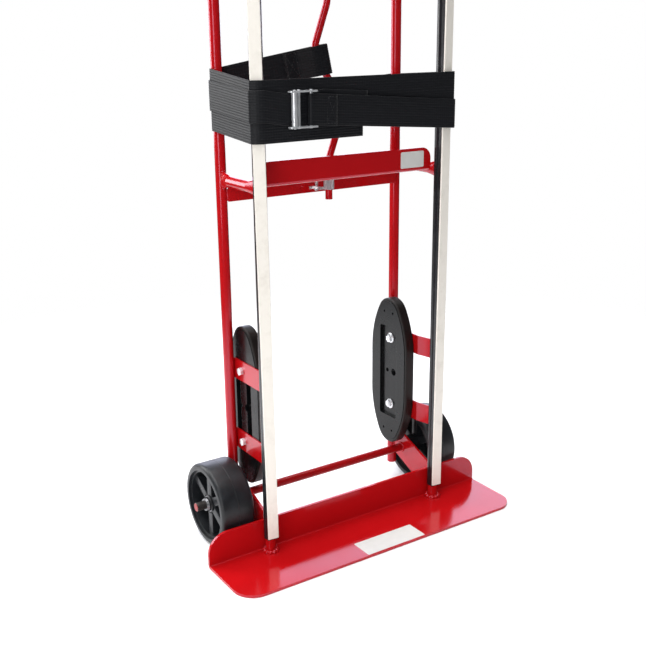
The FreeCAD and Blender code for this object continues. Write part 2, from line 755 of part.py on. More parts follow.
def make_wheel(side, sign):
    """Tyre, ribbed core and bush, each turned about the axle."""
    half_tread = "tread_width / 2"
    middle = "(wheel_inner_face + tread_width / 2)"
    rim = f"({WHEEL_R} - tyre_thickness)"
    rim_inner = f"({rim} - rim_wall)"
    hub = "hub_diameter / 2"
    bush = f"({AXLE_R} + running_fit + bush_wall)"
    half_web = "web_thickness / 2"
    hub_low, hub_high = f"({HUB_INNER} - {middle})", f"({HUB_OUTER} - {middle})"
    half_rim = "(tread_width / 2 - side_play)"
    tyre = turned("Tyre", [
        (rim, f"-{half_tread}"), (WHEEL_R, f"-{half_tread}"), (WHEEL_R, half_tread), (rim, half_tread),
    ])
    round_edges(tyre, "tyre_shoulder_radius", lambda place, box: (
        near(box.XLength, "wheel_diameter") and box.ZLength < number("weld_gap")))
    core = turned("WheelCore", [
        (bush, hub_low), (hub, hub_low), (hub, f"-{half_web}"), (rim_inner, f"-{half_web}"),
        (rim_inner, f"-{half_rim}"), (rim, f"-{half_rim}"), (rim, half_rim), (rim_inner, half_rim),
        (rim_inner, half_web), (hub, half_web), (hub, hub_high), (bush, hub_high),
    ])
    ribs = sketch_on(core, "XY_Plane")
    for way in (-1, 1):
        near_edge, far_edge = "rib_pair_gap / 2", "(rib_pair_gap / 2 + rib_thickness)"
        draw_rectangle(ribs, f"{hub} - rib_thickness", f"{rim} - rim_wall / 2",
                       f"{way} * {near_edge}", f"{way} * {far_edge}")
    rib_pair = pad(core, ribs, "tread_width - 2 * rib_setback")
    pattern = core.newObject("PartDesign::PolarPattern", "Spokes")
    pattern.Originals = [rib_pair]
    pattern.Axis = (ribs, ["N_Axis"])
    pattern.Angle = FULL_TURN
    pattern.Occurrences = WHEEL_SPOKES
    core.Tip = pattern
    doc.recompute()
    sleeve = turned("WheelBush", [
        (f"{AXLE_R} + running_fit", "0"), (bush, "0"), (bush, "hub_length"),
        (f"{AXLE_R} + running_fit", "hub_length"),
    ])
    for body, name, along in ((tyre, "tyre", middle), (core, "wheel_core", middle),
                              (sleeve, "wheel_bush", HUB_INNER)):
        lay_across(body, sign)
        finish(body, f"{name}_{side}", f"{sign} * {along}", "axle_back", WHEEL_R)


def make_axle_hardware(side, sign):
    """Washers on both sides of the hub and the push nut that holds the wheel on."""
    bore, rim = f"{AXLE_R} + weld_gap", "washer_diameter / 2"
    outer_washer = f"({HUB_OUTER} + side_play)"
    for name, along in (("inner_washer", PLATE_OUTER), ("outer_washer", outer_washer)):
        washer = turned("Washer", [
            (bore, "0"), (rim, "0"), (rim, "washer_thickness"), (bore, "washer_thickness"),
        ])
        lay_across(washer, sign)
        finish(washer, f"{name}_{side}", f"{sign} * {along}", "axle_back", WHEEL_R)
    crown = "push_nut_crown_diameter / 2"
    skirt = f"({crown} + ({rim} - {crown}) / 2)"
    nut = turned("PushNut", [
        (bore, "0"), (skirt, "0"), (skirt, "push_nut_height / 2"), (crown, "push_nut_height"),
        (bore, "push_nut_height"),
    ])
    lay_across(nut, sign)
    finish(nut, f"push_nut_{side}", f"{sign} * ({outer_washer} + washer_thickness)", "axle_back", WHEEL_R)


def make_climber(side, sign):
    """Oval core with a recessed inner face, and the belt that slides round its edge."""
    def outline_at(inset):
        sizes = ("climber_width / 2", "climber_length / 2", "climber_tip_radius")
        return [f"{size} - {inset}" for size in sizes]

    core = new_body("ClimberCore")
    outline = sketch_on(core, "YZ_Plane")
    draw_oval(outline, *outline_at("(climber_belt_thickness + climber_belt_fit)"))
    pad(core, outline, "climber_core_thickness", way="One side", backwards=True)
    inner_face = "-climber_core_thickness"
    recess = sketch_on(core, "YZ_Plane", lift=inner_face)
    draw_rectangle(recess, "-climber_recess_width / 2", "climber_recess_width / 2",
                   "-climber_recess_length / 2", "climber_recess_length / 2")
    pocket(core, recess, "2 * climber_recess_depth")
    round_edges(core, "climber_recess_corner_radius", lambda middle, box: (
        near(box.XLength, "climber_recess_depth") and near(abs(middle.y), "climber_recess_width / 2")))
    holes = sketch_on(core, "YZ_Plane")
    draw_circle(holes, "climber_middle_hole_diameter / 2", f"{-sign} * climber_hole_offset")
    draw_circle(holes, "climber_light_hole_diameter / 2", f"{sign} * climber_hole_offset")
    for way in (-1, 1):
        draw_circle(holes, "bolt_diameter / 2 + bolt_fit", "0", f"{way} * bolt_spacing / 2")
    pocket(core, holes)
    dimples = sketch_on(core, "YZ_Plane", lift=inner_face)
    for y_way in (-1, 1):
        for z_way in (-1, 1):
            draw_circle(dimples, "climber_dimple_diameter / 2",
                        f"{y_way} * climber_recess_width / 4", f"{z_way} * climber_dimple_rise")
    pocket(core, dimples, "2 * climber_dimple_depth")
    channels = sketch_on(core, "YZ_Plane")
    low, high = "-climber_channel_length / 2", "climber_channel_length / 2"
    for left, right in (("climber_channel_inset", "climber_channel_inset + climber_channel_width"),
                        ("-climber_channel_inset - climber_channel_width", "-climber_channel_inset")):
        draw_rectangle(channels, left, right, low, high)
    pocket(core, channels, "2 * climber_channel_depth")
    belt = new_body("ClimberBelt")
    ring = sketch_on(belt, "YZ_Plane", lift="-climber_core_thickness / 2")
    draw_oval(ring, *outline_at("0"))
    draw_oval(ring, *outline_at("climber_belt_thickness"))
    pad(belt, ring, "climber_belt_width")
    round_edges(belt, "climber_belt_edge_round", lambda middle, box: (
        box.XLength < number("weld_gap")
        and (near(max(-box.YMin, box.YMax), "climber_width / 2")
             or near(max(-box.ZMin, box.ZMax), "climber_length / 2"))))
    for body, name in ((core, "climber_core"), (belt, "climber_belt")):
        body.Placement.Rotation = Rotation(Vector(0, 0, 1), QUARTER_TURN - sign * QUARTER_TURN)
        finish(body, f"{name}_{side}", f"{sign} * {CORE_OUTER}", "climber_back", "climber_height")


def make_climber_bracket(side, sign, level, way):
    """Flat bar from the rear upright past the climber, joggled out to the front rail."""
    body = new_body("ClimberBracket")
    front = f"({TUBE_R} - rail_ahead + weld_gap + side_play)"
    foot = f"({FRAME_X} - bracket_foot_inset)"
    inner = f"({BRACKET_OUTER} - bracket_thickness)"
    plan = sketch_on(body, "XY_Plane")
    draw_polygon(plan, [
        (f"{sign} * {inner}", "rear_back"), (f"{sign} * {BRACKET_OUTER}", "rear_back"),
        (f"{sign} * {BRACKET_OUTER}", "bracket_bend_back"), (f"{sign} * {foot}", front),
        (f"{sign} * ({foot} - bracket_thickness)", front), (f"{sign} * {inner}", "bracket_bend_back"),
    ])
    pad(body, plan, "bracket_height")
    hole = sketch_on(body, "YZ_Plane", lift=f"{sign} * {BRACKET_OUTER}")
    draw_circle(hole, "bolt_diameter / 2 + bolt_fit", "climber_back", "0")
    pocket(body, hole, "4 * bracket_thickness")
    finish(body, f"climber_bracket_{level}_{side}", z=f"climber_height + {way} * bolt_spacing / 2")


def make_climber_fasteners():
    """Hex bolts through bracket and core, with nuts in the core's recess."""
    bolts, nuts = [], []
    nut_seat = f"({CORE_OUTER} - climber_core_thickness + climber_recess_depth)"
    bolt_end = f"({nut_seat} - nut_height - bolt_end_stand_out)"
    for side, sign in SIDES:
        for level, way in HEIGHTS:
            height = f"climber_height + {way} * bolt_spacing / 2"
            head = doc.addObject("Part::Prism", "BoltHead")
            head.Polygon = HEX_SIDES
            bind(head, Circumradius="bolt_head_across / 2", Height="bolt_head_height")
            shank = cylinder("bolt_diameter / 2", f"{BRACKET_OUTER} - {bolt_end}",
                             z=f"{bolt_end} - {BRACKET_OUTER}")
            bolt = boolean("Fuse", head, shank)
            blank = doc.addObject("Part::Prism", "NutBlank")
            blank.Polygon = HEX_SIDES
            bind(blank, Circumradius="bolt_head_across / 2", Height="nut_height")
            nut = boolean("Cut", blank, cylinder("bolt_diameter / 2 + bolt_fit", "nut_height"))
            for piece, along, group in ((bolt, BRACKET_OUTER, bolts),
                                        (nut, f"({nut_seat} - nut_height)", nuts)):
                lay_across(piece, sign)
                bind(piece, Placement__Base__x=f"{sign} * {along}",
                     Placement__Base__y="climber_back", Placement__Base__z=height)
                group.append(piece)
    for label, pieces in (("climber_bolts", bolts), ("climber_nuts", nuts)):
        group = doc.addObject("Part::Compound", "Fasteners")
        group.Links = pieces
        doc.recompute()
        finish(group, label)


def make_crank():
    """S-bent rod with two opposite throws, its ratchet pinion, washer and pins."""
    rod = new_body("CrankRod")
    top = "upper_cross_height + crank_top_stand_out"
    pin_height = f"({PINION_TOP} - 3 * pinion_height / 4)"
    washer_low = "(upper_cross_height + cross_sheet / 2 + side_play)"
    cotter_height = f"({washer_low} + crank_washer_thickness + cotter_diameter)"
    bent_tube(
        rod, "XZ_Plane",
        [("0", "crank_foot"), ("0", "crank_lower_bend"),
         ("-crank_front_throw", "crank_front_throw_height"),
         ("crank_rear_throw", "crank_rear_throw_height"), ("0", "crank_upper_bend"), ("0", top)],
        "crank_bend_radius", ("0", "0", "crank_foot"), outer_radius=CRANK_R)
    cross_holes = sketch_on(rod, "XZ_Plane")
    draw_circle(cross_holes, "pinion_pin_diameter / 2", "0", pin_height)
    draw_circle(cross_holes, "cotter_diameter / 2", "0", cotter_height)
    pocket(rod, cross_holes)
    bind(rod, Placement__Rotation__Angle=CRANK_ANGLE)
    finish(rod, "crank_rod", y="crank_back")

    pinion = new_body("RatchetPinion")
    teeth = sketch_on(pinion, "XY_Plane")
    corners = []
    for tooth in range(PINION_TEETH):
        angle = FULL_TURN * tooth / PINION_TEETH
        for radius in ("pinion_root_diameter / 2", "pinion_tip_diameter / 2"):
            turned_back = f"{angle} - ({CRANK_ANGLE})"
            corners.append((f"{radius} * cos({turned_back})", f"{radius} * sin({turned_back})"))
    draw_polygon(teeth, corners)
    pad(pinion, teeth, "pinion_height", way="One side", backwards=True)
    bore = sketch_on(pinion, "XY_Plane")
    draw_circle(bore, f"{CRANK_R} + weld_gap")
    pocket(pinion, bore)
    pin_hole = sketch_on(pinion, "XZ_Plane")
    draw_circle(pin_hole, "pinion_pin_diameter / 2", "0", f"{pin_height} - {PINION_TOP}")
    pocket(pinion, pin_hole)
    bind(pinion, Placement__Rotation__Angle=CRANK_ANGLE)
    finish(pinion, "ratchet_pinion", y="crank_back", z=PINION_TOP)

    washer = turned("CrankWasher", [
        (f"{CRANK_R} + weld_gap", "0"), ("crank_washer_diameter / 2", "0"),
        ("crank_washer_diameter / 2", "crank_washer_thickness"),
        (f"{CRANK_R} + weld_gap", "crank_washer_thickness"),
    ])
    finish(washer, "crank_washer", y="crank_back", z=washer_low)
    for label, radius, length, height in (
            ("pinion_pin", "pinion_pin_diameter / 2", "pinion_root_diameter - weld_gap", pin_height),
            ("crank_cotter", "cotter_diameter / 2", "cotter_length", cotter_height)):
        pin = turned("CrossPin", [
            ("0", f"-({length}) / 2"), (radius, f"-({length}) / 2"), (radius, f"({length}) / 2"),
            ("0", f"({length}) / 2"),
        ])
        turn = Rotation(Vector(0, 0, 1), number(CRANK_ANGLE))
        pin.Placement.Rotation = turn.multiply(Rotation(Vector(1, 0, 0), QUARTER_TURN))
        finish(pin, label, y="crank_back", z=height)


def make_pawl():
    """Bell-crank pawl on a shouldered pin, resting just clear of the pinion's teeth."""
    body = new_body("Pawl")
    half = "pawl_width / 2"
    nose_tip = "(pawl_width / 2 + pawl_nose_width / 2)"
    nose_low = "(weld_gap + side_play - pawl_arm)"
    outline = sketch_on(body, "XY_Plane")
    draw_polygon(outline, [
        (f"-{half}", nose_low), (nose_tip, nose_low), (nose_tip, f"{nose_low} + pawl_nose_width / 2"),
        (half, f"{nose_low} + 2 * pawl_nose_width"), (half, half), ("-pawl_tail", half),
        ("-pawl_tail", "0"), (f"-{half} - pawl_width", "0"), (f"-{half}", f"-{half} - pawl_width / 2"),
    ])
    pad(body, outline, "pawl_thickness", way="One side")
    eye = sketch_on(body, "XY_Plane")
    draw_circle(eye, "pawl_eye_diameter / 2")
    pad(body, eye, "pawl_thickness", way="One side")
    hole = sketch_on(body, "XY_Plane")
    draw_circle(hole, "pawl_pin_diameter / 2 + running_fit")
    pocket(body, hole)
    finish(body, "pawl", f"-{PAWL_PIVOT_X}", "crank_back + pawl_arm", PAWL_LOW)

    shank, head = "pawl_pin_diameter / 2", "pawl_pin_head_diameter / 2"
    shoulder = f"({shank} + {head}) / 2"
    web_low, web_high = "(mid_cross_height - cross_sheet / 2)", "(mid_cross_height + cross_sheet / 2)"
    pawl_high = f"({PAWL_LOW} + pawl_thickness + side_play)"
    head_top = f"({PAWL_LOW} - side_play)"
    pin = turned("PawlPin", [
        ("0", f"{head_top} - pawl_pin_head_height"), (head, f"{head_top} - pawl_pin_head_height"),
        (head, head_top), (shank, head_top), (shank, pawl_high), (shoulder, pawl_high),
        (shoulder, web_low), (shank, web_low), (shank, web_high), (head, web_high),
        (head, f"{web_high} + pawl_pin_head_height / 2"), ("0", f"{web_high} + pawl_pin_head_height"),
    ])
    finish(pin, "pawl_pin", f"-{PAWL_PIVOT_X}", "crank_back + pawl_arm")


def webbing(label, inner_line, slopes=None):
    """A flat strap on edge along inner_line, with its thickness to the line's right.

    Where the line falls by a slope, given as a level vector along it, the strap leans square to it.
    """
    thick, half_width = number("strap_thickness"), number("strap_width") / 2
    slopes = slopes or [Vector()] * len(inner_line)
    sections = []
    last = len(inner_line) - 1
    for index, (point, slope) in enumerate(zip(inner_line, slopes)):
        up = (Vector(0, 0, 1) + slope).normalize() * half_width
        before, after = inner_line[max(index - 1, 0)], inner_line[min(index + 1, last)]
        ways = [way for way in (point - before, after - point) if way.Length > 0]
        flat = [Vector(way.x, way.y, 0).normalize() for way in ways]
        lean = sum(flat, Vector()).normalize()
        outer = point + Vector(lean.y, -lean.x, 0) * (thick / lean.dot(flat[0]))
        sections.append([point - up, outer - up, outer + up, point + up])
    faces = [Part.Face(Part.makePolygon(end + end[:1])) for end in (sections[0], sections[-1])]
    for here, there in zip(sections, sections[1:]):
        for side in range(len(here)):
            edges = [Part.makeLine(corners[side - 1], corners[side]) for corners in (here, there)]
            faces.append(Part.makeRuledSurface(*edges))
    skin = Part.makeCompound(faces)
    skin.sewShape()
    solid = Part.makeSolid(skin.Shells[0])
    if solid.Volume < 0:
        solid.reverse()
    length = sum((there - here).Length for here, there in zip(inner_line, inner_line[1:]))
    print(f"{label}: {length:.0f} mm of webbing, {solid.Volume:.0f} mm3")
    strap = doc.addObject("Part::Feature", "Webbing")
    strap.Shape = solid
    finish(strap, label)


def fold(centre_x, centre_y, radius, start, sweep, height, steps=FOLD_STEPS):
    """Points of a strap that turns round an upright edge, angles in degrees."""
    points = []
    for step in range(steps + 1):
        angle = math.radians(start + sweep * step / steps)
        points.append(Vector(centre_x + radius * math.cos(angle),
                             centre_y + radius * math.sin(angle), height))
    return points


def strap_corner(name, layer, height, start=None):
    """The strap's folds round a corner of the frame, going anticlockwise seen from above."""
    lift = layer * number("strap_thickness + strap_layer_gap")
    away = number("strap_clearance") + lift
    rear_x, rear_y, rear_radius = number(FRAME_X), number("rear_back"), number(TUBE_R) + away
    edge_radius = number(STRAP_EDGE) + away
    fold_radius = number("strap_front_fold_radius") + lift
    turn = number(STRAP_TURN_LEFT)
    ahead = Vector(-math.sin(math.radians(turn)), -math.cos(math.radians(turn)), 0)
    aside = Vector(ahead.y, -ahead.x, 0) * number(LAND_SIDE)
    strip = Vector(-rear_x, -number("rail_ahead"), 0) + ahead * number(LAND_FRONT)
    outer_edge, inner_edge = strip + aside, strip - aside
    run = outer_edge - Vector(-rear_x, rear_y, 0)
    side_angle = math.degrees(math.atan2(run.y, run.x) - math.acos((rear_radius - edge_radius) / run.Length))
    side_angle += FULL_TURN
    over_strip, ahead_angle = 3 * QUARTER_TURN - turn, 3 * QUARTER_TURN
    front_x = number(STRAP_RIGHT) + away - fold_radius
    front_y = fold_radius - number(STRAP_PLANE) - away
    corners = {
        "rear_left": [(-rear_x, rear_y, rear_radius, QUARTER_TURN, side_angle)],
        "front_left": [(outer_edge.x, outer_edge.y, edge_radius, side_angle, over_strip),
                       (inner_edge.x, inner_edge.y, edge_radius, over_strip, ahead_angle)],
        "front_right": [(front_x, front_y, fold_radius, ahead_angle, FULL_TURN)],
        "rear_right": [(rear_x, rear_y, rear_radius, 0, QUARTER_TURN)],
    }
    points = []
    for x, y, radius, first, last in corners[name]:
        begin = first if start is None else start
        points += fold(x, y, radius, begin, last - begin, number(height))
    return points


def make_strap_crank_end():
    """The strap's end: sewn back on itself in a sloping loop round the crank's leaning upper throw."""
    crank_angle = number(CRANK_ANGLE)
    lean = math.radians(crank_angle)
    along = Vector(math.cos(lean), math.sin(lean), 0)
    rearwards = Vector(along.y, -along.x, 0)
    axis = Vector(0, number("crank_back"), number("strap_loop_height"))
    middle = axis + along * number("strap_loop_reach")
    gap = number(f"{CRANK_R} + strap_loop_gap")
    throw = number("crank_rear_throw")
    seam_start = throw + number("strap_loop_overlap")
    seam_end = seam_start + number("strap_loop_seam")
    beside_tail = gap - number("strap_layer_gap")
    tail_angle = crank_angle - QUARTER_TURN
    line = [
        axis + along * seam_end + rearwards * beside_tail,
        axis + along * seam_start + rearwards * beside_tail,
        axis + along * throw - rearwards * gap,
        *fold(middle.x, middle.y, gap, tail_angle - 2 * QUARTER_TURN, 2 * QUARTER_TURN, axis.z, LOOP_STEPS),
        axis + along * seam_end + rearwards * gap,
    ]
    first_corner = strap_corner("rear_left", 0, "strap_start_height", tail_angle)
    slope = (axis.z - first_corner[0].z) / (first_corner[0] - middle).dot(along)
    sloping = [point - Vector(0, 0, slope * (point - middle).dot(along)) for point in line]
    webbing("strap_crank_end", [*sloping, first_corner[0]], [along * slope] * len(sloping) + [Vector()])
    return first_corner


def make_strap_inner_turns(first_corner):
    """Two turns of the strap against the frame, the second lower than the first."""
    line = list(first_corner)
    for name, height in (
            ("front_left", "strap_first_front_left_height"),
            ("front_right", "strap_first_front_right_height"),
            ("rear_right", "strap_first_rear_right_height"),
            ("rear_left", "strap_second_rear_left_height"),
            ("front_left", "strap_second_front_left_height")):
        line += strap_corner(name, 0, height)
    line.append(Vector(number("strap_second_end_offset"), line[-1].y, number("strap_second_end_height")))
    webbing("strap_inner_turns", line)


def make_strap_outer_turn():
    """Outer turn: sewn round the loop bar, once round the frame, then under the roller to a free tail."""
    bar_x, bar_y = number("loop_bar_from_left - buckle_left"), -number(LOOP_BAR_AHEAD)
    loop_radius = number("buckle_bar_diameter / 2 + strap_layer_gap + strap_thickness")
    back = -number(OUTER_STRAP_BACK)
    lifted = bar_y + loop_radius
    sewn_front = lifted - number("2 * strap_thickness + strap_layer_gap")
    tongue_height = number("strap_tongue_height")
    corner = strap_corner("front_right", 1, "strap_outer_front_right_height")
    fall = (corner[0].z - tongue_height) / (corner[0].x - bar_x)

    def on_tongue(x, y):
        return Vector(x, y, tongue_height + fall * (x - bar_x))

    seam_start = bar_x + number("strap_tongue_length")
    seam_end = seam_start + number("strap_seam_length")
    tail_end = number("strap_tail_end_offset")
    line = [on_tongue(seam_end, sewn_front), on_tongue(seam_start, sewn_front)]
    line += fold(bar_x, bar_y, loop_radius, 3 * QUARTER_TURN, -2 * QUARTER_TURN, tongue_height, LOOP_STEPS)
    line += [on_tongue(seam_end, lifted), on_tongue(tail_end + number("strap_tail_cover"), lifted)]
    line += corner
    for name, height in (
            ("rear_right", "strap_outer_rear_right_height"),
            ("rear_left", "strap_outer_rear_left_height"),
            ("front_left", "strap_outer_front_left_height")):
        line += strap_corner(name, 1, height)
    buckle_left, buckle_right = -number("buckle_left"), number("buckle_length - buckle_left")
    line += [
        Vector(buckle_left, back, number("buckle_height")),
        Vector(buckle_right, back, number("strap_tail_near_height")),
        Vector(buckle_right + number("strap_tail_rise"), back, number("strap_tail_high")),
        Vector(tail_end, back, number("strap_tail_end_height")),
    ]
    webbing("strap_outer_turn", line)


def make_buckle():
    """Side plates above and below the strap, two bars and a roller on its own pin."""
    back = f"({OUTER_STRAP_FRONT} + strap_layer_gap)"
    bar_r = "buckle_bar_diameter / 2"
    bars = (
        ("roller_pin", "roller_from_left", ROLLER_AHEAD),
        ("lock_bar", "lock_bar_from_left", BUCKLE_BAR_AHEAD),
        ("loop_bar", "loop_bar_from_left", LOOP_BAR_AHEAD),
    )
    for level, way in HEIGHTS:
        plate = new_body("BucklePlate")
        plan = sketch_on(plate, "XY_Plane")
        draw_rectangle(plan, "0", "buckle_length", "-buckle_depth", "0")
        pad(plate, plan, "buckle_plate_thickness")
        round_edges(plate, "buckle_corner_radius", lambda middle, box: (
            near(box.ZLength, "buckle_plate_thickness")))
        holes = sketch_on(plate, "XY_Plane")
        for name, from_left, ahead in bars:
            draw_circle(holes, f"{bar_r} + running_fit", from_left, f"{back} - {ahead}")
        pocket(plate, holes)
        finish(plate, f"buckle_plate_{level}", "-buckle_left", f"-{back}",
               f"buckle_height + {way} * (buckle_opening + buckle_plate_thickness) / 2")
    half = "(buckle_opening / 2 + buckle_plate_thickness + buckle_bar_stand_out)"
    for name, from_left, ahead in bars:
        bar = turned("BuckleBar", [("0", f"-{half}"), (bar_r, f"-{half}"), (bar_r, half), ("0", half)])
        finish(bar, f"buckle_{name}", f"{from_left} - buckle_left", f"-{ahead}", "buckle_height")
    bore, rim = f"{bar_r} + running_fit", "roller_diameter / 2"
    end = "(buckle_opening / 2 - side_play)"
    roller = turned("BuckleRoller", [(bore, f"-{end}"), (rim, f"-{end}"), (rim, end), (bore, end)])
    finish(roller, "buckle_roller", "roller_from_left - buckle_left", f"-{ROLLER_AHEAD}", "buckle_height")


make_toe_plate()
for side, sign in SIDES:
    make_front_rail(side, sign)
    make_rail_cover(side, sign)
    make_rail_pad(side, sign)
    make_rear_tube(side, sign)
    make_spacer(f"spacer_mid_{side}", sign, "mid_cross_height")
    make_spacer(f"spacer_upper_{side}", sign, "upper_cross_height")
    make_axle_plate(side, sign)
    make_axle_hardware(side, sign)
    make_wheel(side, sign)
    make_climber(side, sign)
    for level, way in HEIGHTS:
        make_climber_bracket(side, sign, level, way)
make_handle()
make_cross_member("mid_cross_member", "mid_cross_height", pawl_hole=True)
make_cross_member("upper_cross_member", "upper_cross_height")
make_axle()
make_climber_fasteners()
make_crank()
make_pawl()
make_strap_inner_turns(make_strap_crank_end())
make_strap_outer_turn()
make_buckle()
doc.recompute()

failed = [item.Label for item in doc.Objects if {"Invalid", "Error"} & set(item.State)]
if failed:
    raise RuntimeError(f"failed objects: {failed}")
for part in finished_parts:
    if part.Shape.isNull() or not part.Shape.isValid():
        raise RuntimeError(f"{part.Label} has no valid shape")
os.makedirs("parts", exist_ok=True)
for part in finished_parts:
    part.Shape.exportStep(f"parts/{part.Label}.step")
print(f"{len(finished_parts)} pieces written")
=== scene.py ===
# %% [markdown]
# # An appliance hand truck, dressed for its picture
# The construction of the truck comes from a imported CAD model: every tube, plate, wheel and pin is there
# at its real size and place. This lesson leaves those pieces where they are. It gives each of them a
# finish, puts real webbing where the CAD model has plain straps, and adds what a maker would miss: weld
# beads, stitches, moulding seams and blank labels. Everything is in metres, in the CAD model's frame.

# %% Load the frame
import json
import math
import random

import bmesh
import bpy
from mathutils import Matrix, Vector


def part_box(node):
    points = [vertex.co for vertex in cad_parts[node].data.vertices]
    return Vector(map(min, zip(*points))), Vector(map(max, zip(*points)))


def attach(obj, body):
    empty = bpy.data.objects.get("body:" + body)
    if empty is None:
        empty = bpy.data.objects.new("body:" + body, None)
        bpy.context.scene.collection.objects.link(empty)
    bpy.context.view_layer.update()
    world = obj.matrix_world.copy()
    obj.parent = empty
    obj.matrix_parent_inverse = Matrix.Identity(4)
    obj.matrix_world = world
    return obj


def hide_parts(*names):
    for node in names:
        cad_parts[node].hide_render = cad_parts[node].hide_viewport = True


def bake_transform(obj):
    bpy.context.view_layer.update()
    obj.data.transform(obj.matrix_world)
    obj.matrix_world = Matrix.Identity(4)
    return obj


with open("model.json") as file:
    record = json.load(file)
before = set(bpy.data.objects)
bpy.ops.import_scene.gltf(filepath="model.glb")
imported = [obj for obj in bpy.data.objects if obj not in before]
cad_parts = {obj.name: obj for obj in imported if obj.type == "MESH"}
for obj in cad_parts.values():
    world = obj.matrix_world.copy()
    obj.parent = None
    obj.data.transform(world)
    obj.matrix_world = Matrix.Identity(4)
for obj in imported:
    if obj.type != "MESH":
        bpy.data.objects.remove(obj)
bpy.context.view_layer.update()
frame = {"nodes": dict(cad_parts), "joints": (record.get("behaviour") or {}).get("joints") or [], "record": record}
MM = 0.001
SIDES = (("left", -1), ("right", 1))

# %% [markdown]
# ## Camera
# A picture is matched by finding where its camera stood. Here the corners of the toe plate, the wheels and
# the rails gave the place, the three angles and the focal length in pixels. Turning a camera by yaw, pitch
# and roll in that order keeps the numbers readable, where a pasted matrix would not.

# %% Place the camera
CAMERA_PLACE = Vector((-0.9429, -1.36955, 0.8980))
CAMERA_YAW = 33.104
CAMERA_PITCH = 16.873
CAMERA_ROLL = -0.684
FOCAL_PIXELS = 955.9
IMAGE_PIXELS = 646
SENSOR_MM = 36

camera = bpy.data.objects.new("camera", bpy.data.cameras.new("camera"))
bpy.context.scene.collection.objects.link(camera)
camera.data.sensor_width = SENSOR_MM
camera.data.lens = FOCAL_PIXELS / IMAGE_PIXELS * SENSOR_MM
turn = Matrix.Rotation(math.radians(-CAMERA_YAW), 4, "Z")
tilt = Matrix.Rotation(math.radians(90 - CAMERA_PITCH), 4, "X")
roll = Matrix.Rotation(math.radians(CAMERA_ROLL), 4, "Z")
camera.matrix_world = Matrix.Translation(CAMERA_PLACE) @ turn @ tilt @ roll
bpy.context.scene.camera = camera
print(f"camera lens {camera.data.lens:.1f} mm")

# %% [markdown]
# ## Small tools for materials
# A material is a tree of nodes. Writing it out node by node takes many lines, so one small function adds a
# node, sets its properties and fills its sockets with values or links. Colours are written as sRGB hex, as
# a paint maker gives them, and one function turns them to the linear values that light is counted in.
# Pattern sizes are real millimetres. Most finishes here end alike, in two mixed colours and a bump over
# softened edges, so one more function wires that up.

# %% Node, colour and scale helpers
def linear(colour):
    """An sRGB hex value as the linear colour that a shader takes."""
    shares = [int(colour[place:place + 2], 16) / 255 for place in (0, 2, 4)]
    return tuple(c / 12.92 if c <= 0.04045 else ((c + 0.055) / 1.055) ** 2.4 for c in shares) + (1.0,)


def per_metre(size_mm):
    """The texture scale whose features are about this many millimetres apart."""
    return 1 / (size_mm * MM)


def add(tree, kind, sockets=None, **settings):
    """Add a node of this kind, set its properties and fill its sockets with values or links."""
    made = tree.nodes.new(kind)
    for name, value in settings.items():
        setattr(made, name, value)
    for name, value in (sockets or {}).items():
        if isinstance(value, bpy.types.NodeSocket):
            tree.links.new(value, made.inputs[name])
        else:
            made.inputs[name].default_value = value
    return made


def start_material(name, **constants):
    """A new material with its principled shader, whose constant sockets are set directly."""
    material = bpy.data.materials.new(name)
    material.use_nodes = True
    shader = material.node_tree.nodes["Principled BSDF"]
    for socket, value in constants.items():
        shader.inputs[socket.replace("_", " ")].default_value = value
    return material, material.node_tree, shader


def connect(tree, shader, **outputs):
    """Link node outputs to the shader's sockets by name."""
    for socket, output in outputs.items():
        tree.links.new(output, shader.inputs[socket.replace("_", " ")])


def wire_skin(tree, shader, share, first, second, gloss, relief, strength, relief_mm, edge_mm):
    """Wire up a mix of two colours, gloss and a bumped skin on softened edges; gives the edges' normal."""
    tint = add(tree, "ShaderNodeMix", {0: share, 6: linear(first), 7: linear(second)}, data_type="RGBA")
    edge = add(tree, "ShaderNodeBevel", {"Radius": edge_mm * MM}, samples=4).outputs["Normal"]
    skin = add(tree, "ShaderNodeBump", {"Height": relief.outputs["Fac"], "Strength": strength,
                                        "Distance": relief_mm * MM, "Normal": edge})
    connect(tree, shader, Base_Color=tint.outputs[2], Roughness=gloss.outputs["Result"],
            Normal=skin.outputs["Normal"])
    return edge


# %% [markdown]
# ## Studio
# The truck stands on pale paper that runs out into a white room. A single big floor would end in a grey
# horizon, so the paper fades out into the white of the world instead. Soft lights stand where the picture's
# highlights ask for them: one overhead, one at the left rear, a narrow upright one at the left for streaks
# on round things, and a bright, slightly blue wall behind that gives the enamel its pale reflections. A fill
# at the front lights colours but is left out of reflections, because the picture's front faces mirror a dark
# room. None of them is seen by the camera itself.

# %% Floor, world and lights
FLOOR_SIZE = 7.0
FLOOR_DROP = 0.4 * MM
FLOOR_FADE_START, FLOOR_FADE_END = 0.95, 1.75
AMBIENT = 0.08
# Each light: name, place, the point it is aimed at, width, height, brightness and colour.
SOFTBOXES = [
    ("overhead_softbox", (-0.3, 0.3, 3.2), (0, 0, 0.3), 3.4, 3.4, 4.8, "FFFFFF"),
    ("left_rear_softbox", (-1.5, 2.0, 1.35), (0, 0, 0.75), 1.2, 1.8, 6.8, "FFFFFF"),
    ("rear_wall", (1.8, 3.6, 1.4), (0, 0, 0.4), 5.0, 2.4, 3.35, "E6E9FF"),
    ("left_strip_light", (-2.0, -1.25, 1.1), (0, 0, 0.6), 0.7, 2.0, 4.6, "FFFFFF"),
]
FRONT_FILL = ("front_fill", (-1.8, -2.8, 1.5), (0, 0, 0.5), 2.0, 2.0, 2.0, "FFFFFF")

bpy.context.scene.view_settings.view_transform = "Standard"


